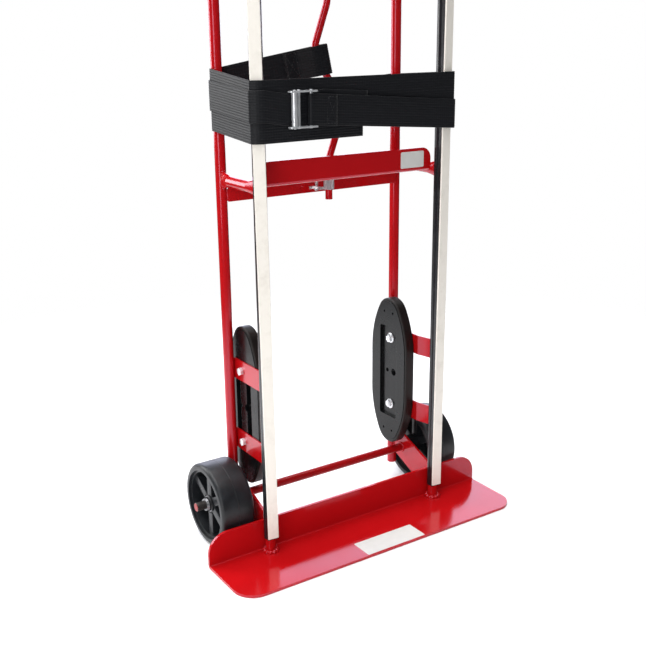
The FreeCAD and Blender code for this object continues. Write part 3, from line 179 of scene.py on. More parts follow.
def make_floor():
    """White paper whose far edge fades into the white room."""
    material, tree, shader = start_material("matte_white_studio_paper", Roughness=0.9)
    place = add(tree, "ShaderNodeTexCoord").outputs["Object"]
    fibres = add(tree, "ShaderNodeTexNoise", {"Vector": place, "Scale": per_metre(4), "Detail": 3})
    tint = add(tree, "ShaderNodeMix", {0: fibres.outputs["Fac"], 6: linear("F8F9FA"), 7: linear("FCFCFC")},
               data_type="RGBA")
    away = add(tree, "ShaderNodeVectorMath", {0: place}, operation="LENGTH")
    shown = add(tree, "ShaderNodeMapRange", {
        "Value": away.outputs["Value"], "From Min": FLOOR_FADE_START, "From Max": FLOOR_FADE_END,
        "To Min": 1.0, "To Max": 0.0}, interpolation_type="SMOOTHSTEP")
    connect(tree, shader, Base_Color=tint.outputs[2], Alpha=shown.outputs["Result"])
    half = FLOOR_SIZE / 2
    corners = [(-half, -half, 0), (half, -half, 0), (half, half, 0), (-half, half, 0)]
    mesh = bpy.data.meshes.new("paper_floor")
    mesh.from_pydata(corners, [], [(0, 1, 2, 3)])
    mesh.materials.append(material)
    floor = bpy.data.objects.new("paper_floor", mesh)
    floor.location.z = -FLOOR_DROP
    bpy.context.scene.collection.objects.link(floor)


def make_world():
    """White to the eye, a soft even glow to everything else."""
    world = bpy.data.worlds.new("white_room")
    world.use_nodes = True
    seen = add(world.node_tree, "ShaderNodeLightPath").outputs["Is Camera Ray"]
    strength = add(world.node_tree, "ShaderNodeMapRange", {"Value": seen, "To Min": AMBIENT, "To Max": 1.0})
    background = world.node_tree.nodes["Background"]
    background.inputs["Color"].default_value = linear("FFFFFF")
    world.node_tree.links.new(strength.outputs["Result"], background.inputs["Strength"])
    bpy.context.scene.world = world


def make_softbox(name, place, target, width, height, radiance, colour):
    """A rectangular light of that brightness and colour, aimed at a point and unseen by the camera."""
    light = bpy.data.lights.new(name, "AREA")
    light.shape = "RECTANGLE"
    light.size, light.size_y = width, height
    light.energy = radiance * math.pi * width * height
    light.color = linear(colour)[:3]
    softbox = bpy.data.objects.new(name, light)
    softbox.location = place
    softbox.rotation_euler = (Vector(target) - Vector(place)).to_track_quat("-Z", "Y").to_euler()
    softbox.visible_camera = False
    bpy.context.scene.collection.objects.link(softbox)
    return softbox


make_floor()
make_world()
for softbox in SOFTBOXES:
    make_softbox(*softbox)
make_softbox(*FRONT_FILL).visible_glossy = False
print(f"{len(SOFTBOXES)} softboxes and a fill round a paper floor")

# %% [markdown]
# ## Red enamel
# The frame is mild steel, welded and then powder coated. Baked powder flows out into a thick glossy skin
# with a faint orange peel, rounds off sharp edges and varies a little in depth. A noise of peel size drives
# the bump, a broad one shifts the red and the gloss, and a bevel node softens the light on cut edges. Its
# reflections are tinted a little, because in the picture they come back pink rather than white.

# %% Powder coat
def powder_coat():
    material, tree, shader = start_material("powder_coated_steel_gloss_red", IOR=1.52, Coat_Weight=0.1,
                                            Coat_Roughness=0.06, Coat_IOR=1.5,
                                            Specular_Tint=linear("FFD8FA"))
    place = add(tree, "ShaderNodeTexCoord").outputs["Object"]
    peel = add(tree, "ShaderNodeTexNoise", {"Vector": place, "Scale": per_metre(3.0), "Detail": 1.0})
    depth = add(tree, "ShaderNodeTexNoise", {"Vector": place, "Scale": per_metre(70), "Detail": 3.0})
    gloss = add(tree, "ShaderNodeMapRange", {"Value": depth.outputs["Fac"], "To Min": 0.1, "To Max": 0.19})
    edge = wire_skin(tree, shader, depth.outputs["Fac"], "AC0C10", "BA1116", gloss, peel,
                     strength=0.12, relief_mm=0.15, edge_mm=0.7)
    connect(tree, shader, Coat_Normal=edge)
    return material


# %% [markdown]
# ## Extruded plastics
# The rails wear a black vinyl channel and a pale polyethylene strip. Both are pushed through a die, so all
# their marks run along the rail: squeezing a noise in X and Y and stretching it along Z draws those die
# lines. The pale strip is waxy and picks up grey scuffs, and the vinyl is glossier.

# %% Vinyl channel and polyethylene strip
DIE_LINE_STRETCH = (1.0, 1.0, 0.015)


def extruded_plastic(name, dark, pale, line_mm, roughness, scuff):
    material, tree, shader = start_material(name, IOR=1.5)
    place = add(tree, "ShaderNodeTexCoord").outputs["Object"]
    drawn = add(tree, "ShaderNodeMapping", {"Vector": place, "Scale": DIE_LINE_STRETCH})
    lines = add(tree, "ShaderNodeTexNoise", {"Vector": drawn.outputs["Vector"], "Scale": per_metre(line_mm),
                                             "Detail": 2.0})
    marks = add(tree, "ShaderNodeTexNoise", {"Vector": place, "Scale": per_metre(26), "Detail": 5.0,
                                             "Roughness": 0.65})
    worn = add(tree, "ShaderNodeMapRange", {"Value": marks.outputs["Fac"], "From Min": 0.52, "From Max": 0.78,
                                            "To Max": scuff})
    gloss = add(tree, "ShaderNodeMapRange", {"Value": lines.outputs["Fac"], "To Min": roughness - 0.06,
                                             "To Max": roughness + 0.1})
    wire_skin(tree, shader, worn.outputs["Result"], pale, dark, gloss, lines,
              strength=0.25, relief_mm=0.1, edge_mm=0.5)
    return material


# %% [markdown]
# ## Moulded rubber and plastic
# Tyres, climber belts, wheel cores and climber cores come out of moulds. A mould leaves a fine spark-eroded
# grain, and handling leaves paler, rougher patches. The grain here is drawn about twice as coarse as the
# real one, so that it still shows at the size of the picture.

# %% Moulded finishes
def moulded(name, dark, pale, grain_mm, roughness, grain_depth_mm, shine=0.5):
    material, tree, shader = start_material(name, IOR=1.5, Specular_IOR_Level=shine)
    place = add(tree, "ShaderNodeTexCoord").outputs["Object"]
    grain = add(tree, "ShaderNodeTexNoise", {"Vector": place, "Scale": per_metre(grain_mm), "Detail": 2.0})
    rubbed = add(tree, "ShaderNodeTexNoise", {"Vector": place, "Scale": per_metre(34), "Detail": 4.0,
                                              "Roughness": 0.6})
    patch = add(tree, "ShaderNodeMapRange", {"Value": rubbed.outputs["Fac"], "From Min": 0.4,
                                             "From Max": 0.7})
    gloss = add(tree, "ShaderNodeMapRange", {"Value": rubbed.outputs["Fac"], "From Min": 0.3, "From Max": 0.7,
                                             "To Min": roughness - 0.07, "To Max": roughness + 0.07})
    wire_skin(tree, shader, patch.outputs["Result"], dark, pale, gloss, grain,
              strength=0.35, relief_mm=grain_depth_mm, edge_mm=0.8)
    return material


# %% [markdown]
# ## Plated and blackened steel
# Buckle, ratchet, bolts and nuts are bright zinc plate: a milky metal with soft blotches and fine scratches
# from tumbling. Its pale film scatters light, so it is only part metal to the shader. The washers and push
# nuts at the wheels are phosphate blackened, which is the same metal shader with a dark colour and less
# shine.

# %% Metals
def plated_steel(name, dark, pale, roughness, metallic):
    material, tree, shader = start_material(name, Metallic=metallic)
    place = add(tree, "ShaderNodeTexCoord").outputs["Object"]
    blotch = add(tree, "ShaderNodeTexNoise", {"Vector": place, "Scale": per_metre(7), "Detail": 3.0})
    scratch = add(tree, "ShaderNodeTexNoise", {"Vector": place, "Scale": per_metre(0.8), "Detail": 2.0,
                                               "Distortion": 0.8})
    gloss = add(tree, "ShaderNodeMapRange", {"Value": blotch.outputs["Fac"], "From Min": 0.3, "From Max": 0.7,
                                             "To Min": roughness - 0.08, "To Max": roughness + 0.08})
    wire_skin(tree, shader, blotch.outputs["Fac"], dark, pale, gloss, scratch,
              strength=0.04, relief_mm=0.05, edge_mm=0.4)
    return material


# %% [markdown]
# ## Axle bar
# The axle is painted with the frame, but the wheels, washers and nuts that were pushed on later have worn
# its ends to bare dark steel, and only the cut end faces still carry paint. One material does both: it
# measures the distance from the middle of the truck and changes colour, metal and gloss where paint ends.

# %% Axle with bare ends
PAINT_ENDS_AT = 200 * MM
END_FACE_AT = 284.6 * MM


def painted_bar_with_bare_ends():
    material, tree, shader = start_material("powder_coated_axle_with_worn_ends", IOR=1.5,
                                            Specular_IOR_Level=0.3)
    place = add(tree, "ShaderNodeTexCoord").outputs["Object"]
    axes = add(tree, "ShaderNodeSeparateXYZ", {"Vector": place})
    out = add(tree, "ShaderNodeMath", {0: axes.outputs["X"]}, operation="ABSOLUTE").outputs["Value"]
    past_paint = add(tree, "ShaderNodeMath", {0: out, 1: PAINT_ENDS_AT}, operation="GREATER_THAN")
    before_face = add(tree, "ShaderNodeMath", {0: out, 1: END_FACE_AT}, operation="LESS_THAN")
    bare = add(tree, "ShaderNodeMath", {0: past_paint.outputs["Value"], 1: before_face.outputs["Value"]},
               operation="MULTIPLY").outputs["Value"]
    rubbed = add(tree, "ShaderNodeTexNoise", {"Vector": place, "Scale": per_metre(5), "Detail": 4.0})
    steel = add(tree, "ShaderNodeMix", {0: rubbed.outputs["Fac"], 6: linear("3B3735"), 7: linear("6A6462")},
                data_type="RGBA")
    tint = add(tree, "ShaderNodeMix", {0: bare, 6: linear("940B10"), 7: steel.outputs[2]}, data_type="RGBA")
    metal = add(tree, "ShaderNodeMapRange", {"Value": bare, "To Max": 0.85})
    gloss = add(tree, "ShaderNodeMapRange", {"Value": bare, "To Min": 0.24, "To Max": 0.42})
    connect(tree, shader, Base_Color=tint.outputs[2], Metallic=metal.outputs["Result"],
            Roughness=gloss.outputs["Result"])
    return material


# %% [markdown]
# ## Webbing and thread
# The strap is woven polypropylene. Its heavy warp stands up in ribs along the strap, which are modelled
# below because they show on the edge. The weft that binds them crosses every millimetre or so: here it is
# drawn at 4.7 mm, because the true spacing would vanish in the picture. A wave texture turns through 20
# radians in each unit of its scale, so the scale is worked out from that. Sheen gives the pale bloom that
# woven fibre has where light grazes it.

# %% Woven finish
WEFT_MM = 4.74
WARP_MM = 2.37
WAVES_PER_UNIT = 20 / (2 * math.pi)


def woven(name, dark, pale, sheen):
    material, tree, shader = start_material(name, IOR=1.48, Sheen_Weight=sheen, Sheen_Roughness=0.4,
                                            Roughness=0.52, Specular_IOR_Level=0.3)
    cloth = add(tree, "ShaderNodeTexCoord").outputs["UV"]
    weft = add(tree, "ShaderNodeTexWave", {"Vector": cloth, "Scale": per_metre(WEFT_MM) / WAVES_PER_UNIT},
               bands_direction="X", wave_profile="SIN")
    warp = add(tree, "ShaderNodeTexWave", {"Vector": cloth, "Scale": per_metre(WARP_MM) / WAVES_PER_UNIT},
               bands_direction="Y", wave_profile="SIN")
    weave = add(tree, "ShaderNodeMath", {0: weft.outputs["Fac"], 1: warp.outputs["Fac"]},
                operation="MULTIPLY")
    fuzz = add(tree, "ShaderNodeTexNoise", {"Vector": cloth, "Scale": per_metre(9), "Detail": 6.0,
                                            "Roughness": 0.7})
    shade = add(tree, "ShaderNodeMath", {0: weave.outputs["Value"], 1: fuzz.outputs["Fac"]},
                operation="MULTIPLY")
    tint = add(tree, "ShaderNodeMix", {0: shade.outputs["Value"], 6: linear(dark), 7: linear(pale)},
               data_type="RGBA")
    skin = add(tree, "ShaderNodeBump", {"Height": weave.outputs["Value"], "Strength": 0.5,
                                        "Distance": 0.3 * MM})
    connect(tree, shader, Base_Color=tint.outputs[2], Normal=skin.outputs["Normal"])
    return material


# %% [markdown]
# ## Blank label stock
# Two labels are stuck on the truck: plain white vinyl film with nothing on it. Film is smooth and a little
# yellow, and it shows faint ripples where it was rubbed down over paint.

# %% Label film
def label_film():
    material, tree, shader = start_material("cast_vinyl_film_white", IOR=1.46)
    place = add(tree, "ShaderNodeTexCoord").outputs["Object"]
    ripple = add(tree, "ShaderNodeTexNoise", {"Vector": place, "Scale": per_metre(14), "Detail": 2.0})
    tint = add(tree, "ShaderNodeMix", {0: ripple.outputs["Fac"], 6: linear("D2D2CF"), 7: linear("DEDEDC")},
               data_type="RGBA")
    gloss = add(tree, "ShaderNodeMapRange", {"Value": ripple.outputs["Fac"], "To Min": 0.3, "To Max": 0.5})
    skin = add(tree, "ShaderNodeBump", {"Height": ripple.outputs["Fac"], "Strength": 0.1,
                                        "Distance": 0.2 * MM})
    connect(tree, shader, Base_Color=tint.outputs[2], Roughness=gloss.outputs["Result"],
            Normal=skin.outputs["Normal"])
    return material


# %% [markdown]
# ## Dress the CAD pieces
# A CAD piece keeps its mesh, so dressing it only means putting a material in its slot. The record says which
# finish each piece has. A few pieces differ from their group, and those are named one by one.

# %% Assign finishes
FINISHES = {
    "red_enamel": powder_coat(),
    "black_cover": extruded_plastic("extruded_vinyl_gloss_black", "2B2C2F", "15161A", 1.6, 0.26, 0.7),
    "cream_strip": extruded_plastic("extruded_polyethylene_cream", "CFC8BC", "F1ECE3", 1.2, 0.42, 0.4),
    "tyre_rubber": moulded("moulded_tyre_rubber_black", "15171A", "1F2226", 1.4, 0.4, 0.12, 0.4),
    "wheel_plastic": moulded("moulded_polypropylene_black", "1B1D20", "26292C", 2.0, 0.34, 0.08, 0.4),
    "zinc_steel": plated_steel("bright_zinc_plated_steel", "D0D3D8", "F0F2F4", 0.18, 0.62),
    "grey_plastic": moulded("moulded_nylon_charcoal", "0D0E0F", "141517", 1.6, 0.23, 0.05, 0.22),
    "belt_rubber": moulded("moulded_belt_rubber_brown_black", "120F0E", "1A1514", 1.8, 0.44, 0.12, 0.3),
    "grip_vinyl": moulded("dipped_vinyl_black", "161617", "202022", 2.2, 0.46, 0.1),
    "black_webbing": woven("woven_polypropylene_webbing_black", "0B0C10", "191C22", 0.08),
}
BLACKENED = plated_steel("phosphate_blackened_steel", "5A5A5B", "86868A", 0.34, 1.0)
NODE_FINISHES = {
    "axle": painted_bar_with_bare_ends(),
    "push_nut_left": BLACKENED, "push_nut_right": BLACKENED,
    "outer_washer_left": BLACKENED, "outer_washer_right": BLACKENED,
}
THREAD = woven("bonded_nylon_thread_black", "1B1C1F", "3A3C40", 0.3)
LABEL_FILM = label_film()

slot_of_node = {part["node"]: part["material_slot"] for part in frame["record"]["subparts"]}
for name, cad_piece in frame["nodes"].items():
    finish = NODE_FINISHES.get(name, FINISHES[slot_of_node[name]])
    cad_piece.data.materials.clear()
    cad_piece.data.materials.append(finish)
print(f"{len(frame['nodes'])} CAD pieces dressed in {len(FINISHES)} finishes")

# %% [markdown]
# ## Webbing
# A strap is a flat ribbon that stands on edge and turns round corners. A curve with a bevel could carry it,
# but it would twist at the folds. Here a section with ribs and rounded selvedges is set across the route at
# every step, on edge and square to the route, and neighbouring sections are skinned together. Corners are
# true arcs round the tubes and strips that the CAD model holds, so the strap lies on what it holds.

# %% Ribbon of webbing
STRAP_WIDTH = 50 * MM
STRAP_THICK = 2 * MM
STRAP_RIBS = 12
RIB_POINTS = 6
RIB_DEPTH = 0.38 * MM
SELVEDGE = 1.0 * MM
SELVEDGE_BLUNT = 0.04
STRAP_STEP = 7 * MM


def strap_section():
    """Pairs of depth and height round the strap's section, starting low on its inner face."""
    count = STRAP_RIBS * RIB_POINTS
    inner, outer = [], []
    for step in range(count + 1):
        height = STRAP_WIDTH * (step / count - 0.5)
        groove = RIB_DEPTH * (0.5 - 0.5 * math.cos(2 * math.pi * step / RIB_POINTS))
        to_edge = min(STRAP_WIDTH / 2 - abs(height), SELVEDGE) / SELVEDGE
        half = (STRAP_THICK / 2 - groove) * math.sqrt(max(1 - (1 - to_edge) ** 2, SELVEDGE_BLUNT))
        inner.append((STRAP_THICK / 2 - half, height))
        outer.append((STRAP_THICK / 2 + half, height))
    return inner + outer[::-1]


def even_steps(line):
    """The line with points added on its long runs, about one strap step apart."""
    points = [line[0]]
    for here, there in zip(line, line[1:]):
        parts = max(1, round((there - here).length / STRAP_STEP))
        points += [here.lerp(there, part / parts) for part in range(1, parts + 1)]
    return points


def upright(point):
    return Vector((0, 0, 1))


def webbing_mesh(name, line, up_at=upright):
    """Skin the strap's section along a line on its inner face; its thickness is to the line's right."""
    section = strap_section()
    points = even_steps(line)
    vertices, run, runs = [], 0.0, []
    for index, point in enumerate(points):
        before, after = points[max(index - 1, 0)], points[min(index + 1, len(points) - 1)]
        ways = [Vector((way.x, way.y, 0)).normalized()
                for way in (point - before, after - point) if way.length]
        lean = sum(ways, Vector()).normalized()
        outward = Vector((lean.y, -lean.x, 0)) / lean.dot(ways[0])
        run += (point - before).length
        runs.append(run)
        vertices += [point + outward * depth + up_at(point) * height for depth, height in section]
    size = len(section)
    faces = [
        (row * size + place, (row + 1) * size + place, (row + 1) * size + (place + 1) % size,
         row * size + (place + 1) % size)
        for row in range(len(points) - 1) for place in range(size)
    ]
    faces.append(tuple(range(size)))
    faces.append(tuple(reversed(range(len(vertices) - size, len(vertices)))))
    mesh = bpy.data.meshes.new(name)
    mesh.from_pydata(vertices, [], faces)
    cloth = mesh.uv_layers.new(name="cloth")
    for loop in mesh.loops:
        row, place = divmod(loop.vertex_index, size)
        cloth.data[loop.index].uv = (runs[row], section[place][1])
    mesh.polygons.foreach_set("use_smooth", [True] * len(mesh.polygons))
    print(f"{name}: {run / MM:.0f} mm of webbing, {len(mesh.polygons)} faces")
    return mesh


def add_piece(name, mesh, finish, body):
    """Put a finished mesh in the scene and, when a body is given, let it ride on that body of the frame."""
    mesh.materials.append(finish)
    piece = bpy.data.objects.new(name, mesh)
    bpy.context.scene.collection.objects.link(piece)
    if body:
        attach(piece, body)
    return piece


# %% [markdown]
# ## The strap's route
# The strap starts in a loop sewn round the crank and goes round the frame one and a half times. An outer turn
# is sewn to the buckle's bar, goes round once more and runs through the buckle to a free tail. The corners
# come from the CAD pieces that the strap lies on: the rear uprights and the wear strips, which turn round
# their rails as they climb. At the strap's height the left one looks well to the left, so the strap folds
# over both of its edges and bows a little between them, as stiff webbing does. Heights, where a hand wound
# it, are plain numbers in millimetres.

# %% Corners of the route
CLEARANCE = 0.3 * MM
LAYER_GAP = 0.35 * MM
FRONT_FOLD = 2.5 * MM
STRIP_TURN_LEFT, STRIP_TURN_RIGHT = 29.79, 7.32
STRIP_SIDE, STRIP_AHEAD, STRIP_EDGE = 9.0 * MM, 13.55 * MM, 1.4 * MM
STRIP_BOW = 24
CORNER_STEPS = 10
QUARTER = 90

tube_low, tube_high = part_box("rear_tube_right")
tube_middle = (tube_low + tube_high) / 2
TUBE_RADIUS = (tube_high.x - tube_low.x) / 2
rail_low, rail_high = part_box("front_rail_right")
RAIL_Y = rail_low.y + TUBE_RADIUS
left_turn, right_turn = math.radians(STRIP_TURN_LEFT), math.radians(STRIP_TURN_RIGHT)
strip_ahead = Vector((-math.sin(left_turn), -math.cos(left_turn), 0))
strip_aside = Vector((strip_ahead.y, -strip_ahead.x, 0)) * STRIP_SIDE
strip_middle = Vector((-tube_middle.x, RAIL_Y, 0)) + strip_ahead * STRIP_AHEAD
OUTER_EDGE, INNER_EDGE = strip_middle + strip_aside, strip_middle - strip_aside
STRAP_FRONT = INNER_EDGE.y - STRIP_EDGE
STRAP_RIGHT = (tube_middle.x + STRIP_SIDE * math.cos(right_turn) + STRIP_AHEAD * math.sin(right_turn)
               + STRIP_EDGE)


def arc(centre_x, centre_y, radius, start, sweep, height, steps=CORNER_STEPS):
    """Points round an upright edge at one height, angles in degrees."""
    angles = [math.radians(start + sweep * step / steps) for step in range(steps + 1)]
    return [Vector((centre_x + radius * math.cos(a), centre_y + radius * math.sin(a), height))
            for a in angles]


def strap_corner(name, layer, height_mm, start=None):
    """The strap's folds round one corner of the frame, going anticlockwise seen from above."""
    lift = layer * (STRAP_THICK + LAYER_GAP)
    away = CLEARANCE + lift
    rear, edge, fold = TUBE_RADIUS + away, STRIP_EDGE + away, FRONT_FOLD + lift
    run = OUTER_EDGE - Vector((-tube_middle.x, tube_middle.y, 0))
    side_angle = 4 * QUARTER + math.degrees(math.atan2(run.y, run.x) - math.acos((rear - edge) / run.length))
    over_strip = 3 * QUARTER - STRIP_TURN_LEFT
    bow_radius = STRIP_SIDE / math.sin(math.radians(STRIP_BOW))
    bow_middle = strip_middle - strip_ahead * bow_radius * math.cos(math.radians(STRIP_BOW))
    folds = {
        "rear_left": [(-tube_middle.x, tube_middle.y, rear, QUARTER, side_angle)],
        "front_left": [(OUTER_EDGE.x, OUTER_EDGE.y, edge, side_angle, over_strip - STRIP_BOW),
                       (bow_middle.x, bow_middle.y, bow_radius + edge, over_strip - STRIP_BOW,
                        over_strip + STRIP_BOW),
                       (INNER_EDGE.x, INNER_EDGE.y, edge, over_strip + STRIP_BOW, 3 * QUARTER)],
        "front_right": [(STRAP_RIGHT + away - fold, STRAP_FRONT - away + fold, fold,
                         3 * QUARTER, 4 * QUARTER)],
        "rear_right": [(tube_middle.x, tube_middle.y, rear, 0, QUARTER)],
    }[name]
    points = []
    for x, y, radius, first, last in folds:
        begin = first if start is None else start
        fold_points = arc(x, y, radius, begin, last - begin, height_mm * MM)
        points += fold_points[1:] if points else fold_points
    return points


# %% Crank end, inner turns and outer turn
joint_places = {joint["name"]: Vector(joint["pos_m"]) for joint in frame["joints"]}
CRANK_AXIS = joint_places["crank_turn"]
CRANK_RADIUS = 6.35 * MM
CRANK_THROW = 26 * MM
LOOP_REACH = 5.5 * MM
LOOP_GAP = 1 * MM
LOOP_OVERLAP = 24 * MM
LOOP_SEAM = 24 * MM
LOOP_HEIGHT = 855
START_HEIGHT = 818.8
INNER_TURNS = [("front_left", 804.6), ("front_right", 806.5), ("rear_right", 799), ("rear_left", 766.5),
               ("front_left", 756.7)]
INNER_END = (2, 757.6)
OUTER_TURN = [("front_right", 759), ("rear_right", 759), ("rear_left", 800), ("front_left", 789.3)]
TONGUE_HEIGHT = 782
TONGUE, SEAM = 30 * MM, 22 * MM
TAIL_COVER = 15 * MM
TAIL = [(-147, 783), (-95, 784.5), (-78, 787.5), (10, 781.5)]

along = Vector((-tube_middle.x - CRANK_AXIS.x, tube_middle.y - CRANK_AXIS.y, 0)).normalized()
rearwards = Vector((along.y, -along.x, 0))
along_angle = math.degrees(math.atan2(along.y, along.x))
loop_middle = Vector((CRANK_AXIS.x, CRANK_AXIS.y, LOOP_HEIGHT * MM)) + along * LOOP_REACH
crank_end_far = strap_corner("rear_left", 0, START_HEIGHT, along_angle - QUARTER)[0]
crank_end_run = (crank_end_far - loop_middle).dot(along)
crank_end_slope = (loop_middle.z - crank_end_far.z) / crank_end_run
CRANK_SEAM_START = CRANK_THROW + LOOP_OVERLAP
CRANK_SEAM_END = CRANK_SEAM_START + LOOP_SEAM


def crank_end_line():
    """Tail, loop round the crank's leaning throw, and the sloping run to the left rear upright."""
    axis = loop_middle - along * LOOP_REACH
    gap = CRANK_RADIUS + LOOP_GAP
    tail = rearwards * (gap - LAYER_GAP)
    line = [axis + along * CRANK_SEAM_END + tail, axis + along * CRANK_SEAM_START + tail,
            axis + along * CRANK_THROW - rearwards * gap]
    line += arc(loop_middle.x, loop_middle.y, gap, along_angle - 3 * QUARTER, 2 * QUARTER, axis.z,
                2 * CORNER_STEPS)
    line.append(axis + along * CRANK_SEAM_END + rearwards * gap)
    sloping = [point - Vector((0, 0, crank_end_slope * (point - loop_middle).dot(along))) for point in line]
    return sloping + [crank_end_far]


def crank_end_up(point):
    """Square to the slope as far as the seam, then easing to upright at the tube."""
    left = crank_end_run - (point - loop_middle).dot(along)
    share = min(1.0, max(0.0, left / (crank_end_run + LOOP_REACH - CRANK_SEAM_END)))
    return (Vector((0, 0, 1)) + along * crank_end_slope * share).normalized()


def inner_turns_line():
    line = strap_corner("rear_left", 0, START_HEIGHT, along_angle - QUARTER)
    for name, height in INNER_TURNS:
        line += strap_corner(name, 0, height)
    end_x, end_height = INNER_END
    line.append(Vector((end_x * MM, line[-1].y, end_height * MM)))
    return line


def outer_turn_line():
    """Sewn tongue round the loop bar, once round the frame, then under the roller to a free tail."""
    low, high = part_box("buckle_loop_bar")
    bar, bar_radius = (low + high) / 2, (high.x - low.x) / 2
    loop = bar_radius + LAYER_GAP + STRAP_THICK
    back = STRAP_FRONT - CLEARANCE - STRAP_THICK - LAYER_GAP
    lifted = bar.y + loop
    front = lifted - 2 * STRAP_THICK - LAYER_GAP
    name, height = OUTER_TURN[0]
    corner = strap_corner(name, 1, height)
    fall = (corner[0].z - TONGUE_HEIGHT * MM) / (corner[0].x - bar.x)

    def on_tongue(x, y):
        return Vector((x, y, TONGUE_HEIGHT * MM + fall * (x - bar.x)))

    seam_start = bar.x + TONGUE
    line = [on_tongue(seam_start + SEAM, front), on_tongue(seam_start, front)]
    line += arc(bar.x, bar.y, loop, 3 * QUARTER, -2 * QUARTER, TONGUE_HEIGHT * MM, 2 * CORNER_STEPS)
    line += [on_tongue(seam_start + SEAM, lifted), on_tongue(TAIL[-1][0] * MM + TAIL_COVER, lifted)]
    line += corner
    for name, height in OUTER_TURN[1:]:
        line += strap_corner(name, 1, height)
    return line + [Vector((x * MM, back, height * MM)) for x, height in TAIL]


WEBBING = FINISHES["black_webbing"]
crank_end = add_piece("webbing_crank_end", webbing_mesh("webbing_crank_end", crank_end_line(), crank_end_up),
                      WEBBING, None)
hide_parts("strap_crank_end")
crank_end_line()[2]
crank_end_line()[-1]
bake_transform(crank_end)
for name, line in (("inner_turns", inner_turns_line()), ("outer_turn", outer_turn_line())):
    turns = add_piece(f"webbing_{name}", webbing_mesh(f"webbing_{name}", line), WEBBING, "frame")
    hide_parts(f"strap_{name}")

# %% [markdown]
# ## Weld beads
# Every joint of the frame is a weld that was painted over. A bead is a row of small frozen puddles, so it is
# modelled as a tube whose radius swells once for each puddle, with the swellings curved like stacked coins
# and no two quite alike. Each bead follows the line where two pieces meet, half sunk in both.

# %% From rings to a mesh
def skin_rings(mesh, rings, closed):
    """Join rings of vertices into a tube; an open tube gets a face at each end."""
    count = len(rings[0])
    for here, there in zip(rings, rings[1:] + (rings[:1] if closed else [])):
        for place in range(count):
            follow = (place + 1) % count
            mesh.faces.new((here[place], here[follow], there[follow], there[place]))
    if not closed:
        mesh.faces.new(rings[0][::-1])
        mesh.faces.new(rings[-1])


def finished_mesh(name, shaped, smooth=True):
    """A mesh from a bmesh, with all its faces looking outward."""
    bmesh.ops.recalc_face_normals(shaped, faces=shaped.faces)
    mesh = bpy.data.meshes.new(name)
    shaped.to_mesh(mesh)
    shaped.free()
    mesh.polygons.foreach_set("use_smooth", [smooth] * len(mesh.polygons))
    print(f"{name}: {len(mesh.polygons)} faces")
    return mesh


# %% Bead along a line
PUDDLE_SHARE = 1.45
BEAD_STEP = 0.8 * MM
BEAD_SIDES = 10
PUDDLE_SWELL = 0.2
PUDDLE_LEAN = 0.4
SLOW_SWELL = 0.14
SLOW_RUNS = (11 * MM, 4.1 * MM)
chance = random.Random(7)


def resample(path, closed):
    """Points along a path at about one bead step, without the last one of a closed path."""
    ends = path[1:] + path[:1] if closed else path[1:]
    points = []
    for here, there in zip(path, ends):
        parts = max(1, round((there - here).length / BEAD_STEP))
        points += [here.lerp(there, part / parts) for part in range(parts)]
    return points if closed else points + [path[-1]]


def add_bead(mesh, path, radius, closed=True):
    """Add one rippled bead to a bmesh."""
    points = resample(path, closed)
    count = len(points)
    phases = [chance.uniform(0, 2 * math.pi) for _ in range(3)]
    puddle_run = PUDDLE_SHARE * radius
    side = None
    rings, run = [], 0.0
    for index, point in enumerate(points):
        before = points[index - 1] if closed or index else point
        after = points[(index + 1) % count] if closed or index < count - 1 else point
        way = (after - before).normalized()
        if side is None:
            side = way.orthogonal().normalized()
        side = (side - way * side.dot(way)).normalized()
        other = way.cross(side)
        run += (point - before).length if index else 0
        waves = [math.sin(run / length + phase) for length, phase in zip(SLOW_RUNS, phases)]
        slow = SLOW_SWELL * math.prod(waves)
        close = 1.0 if closed else min(1.0, (min(index, count - 1 - index) + 1) * BEAD_STEP / radius) ** 0.5
        ring = []
        for corner in range(BEAD_SIDES):
            angle = 2 * math.pi * corner / BEAD_SIDES
            puddle_at = (run - PUDDLE_LEAN * radius * math.cos(angle)) / puddle_run
            puddle = math.sin(2 * math.pi * puddle_at + phases[2])
            reach = radius * (1 + slow) * close * (1 + PUDDLE_SWELL * puddle)
            ring.append(mesh.verts.new(point + (side * math.cos(angle) + other * math.sin(angle)) * reach))
        rings.append(ring)
    skin_rings(mesh, rings, closed)


def weld(name, beads):
    """One painted piece from a list of beads, each a path, a radius and whether it is closed."""
    shaped = bmesh.new()
    for path, radius, closed in beads:
        add_bead(shaped, path, radius, closed)
    add_piece(name, finished_mesh(name, shaped), FINISHES["red_enamel"], "frame")


# %% Lines where pieces meet
RING_STEPS = 32
SADDLE_LIMIT = 0.98
RAIL_BACK = RAIL_Y + TUBE_RADIUS
TUBE_FRONT = tube_middle.y - TUBE_RADIUS
TOE_TOP = rail_low.z
RAIL_CROWN = rail_high.z - TUBE_RADIUS
FLANGE_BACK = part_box("toe_plate")[1].y
axle_low, axle_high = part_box("axle")
AXLE_MIDDLE = (axle_low + axle_high) / 2
AXLE_RADIUS = (axle_high.z - axle_low.z) / 2


def level_ring(x, y, z, radius):
    return arc(x, y, radius, 0, 360, z, RING_STEPS)[:-1]


def ring_round_axle(x):
    angles = [2 * math.pi * step / RING_STEPS for step in range(RING_STEPS)]
    return [Vector((x, AXLE_MIDDLE.y + AXLE_RADIUS * math.cos(a), AXLE_MIDDLE.z + AXLE_RADIUS * math.sin(a)))
            for a in angles]


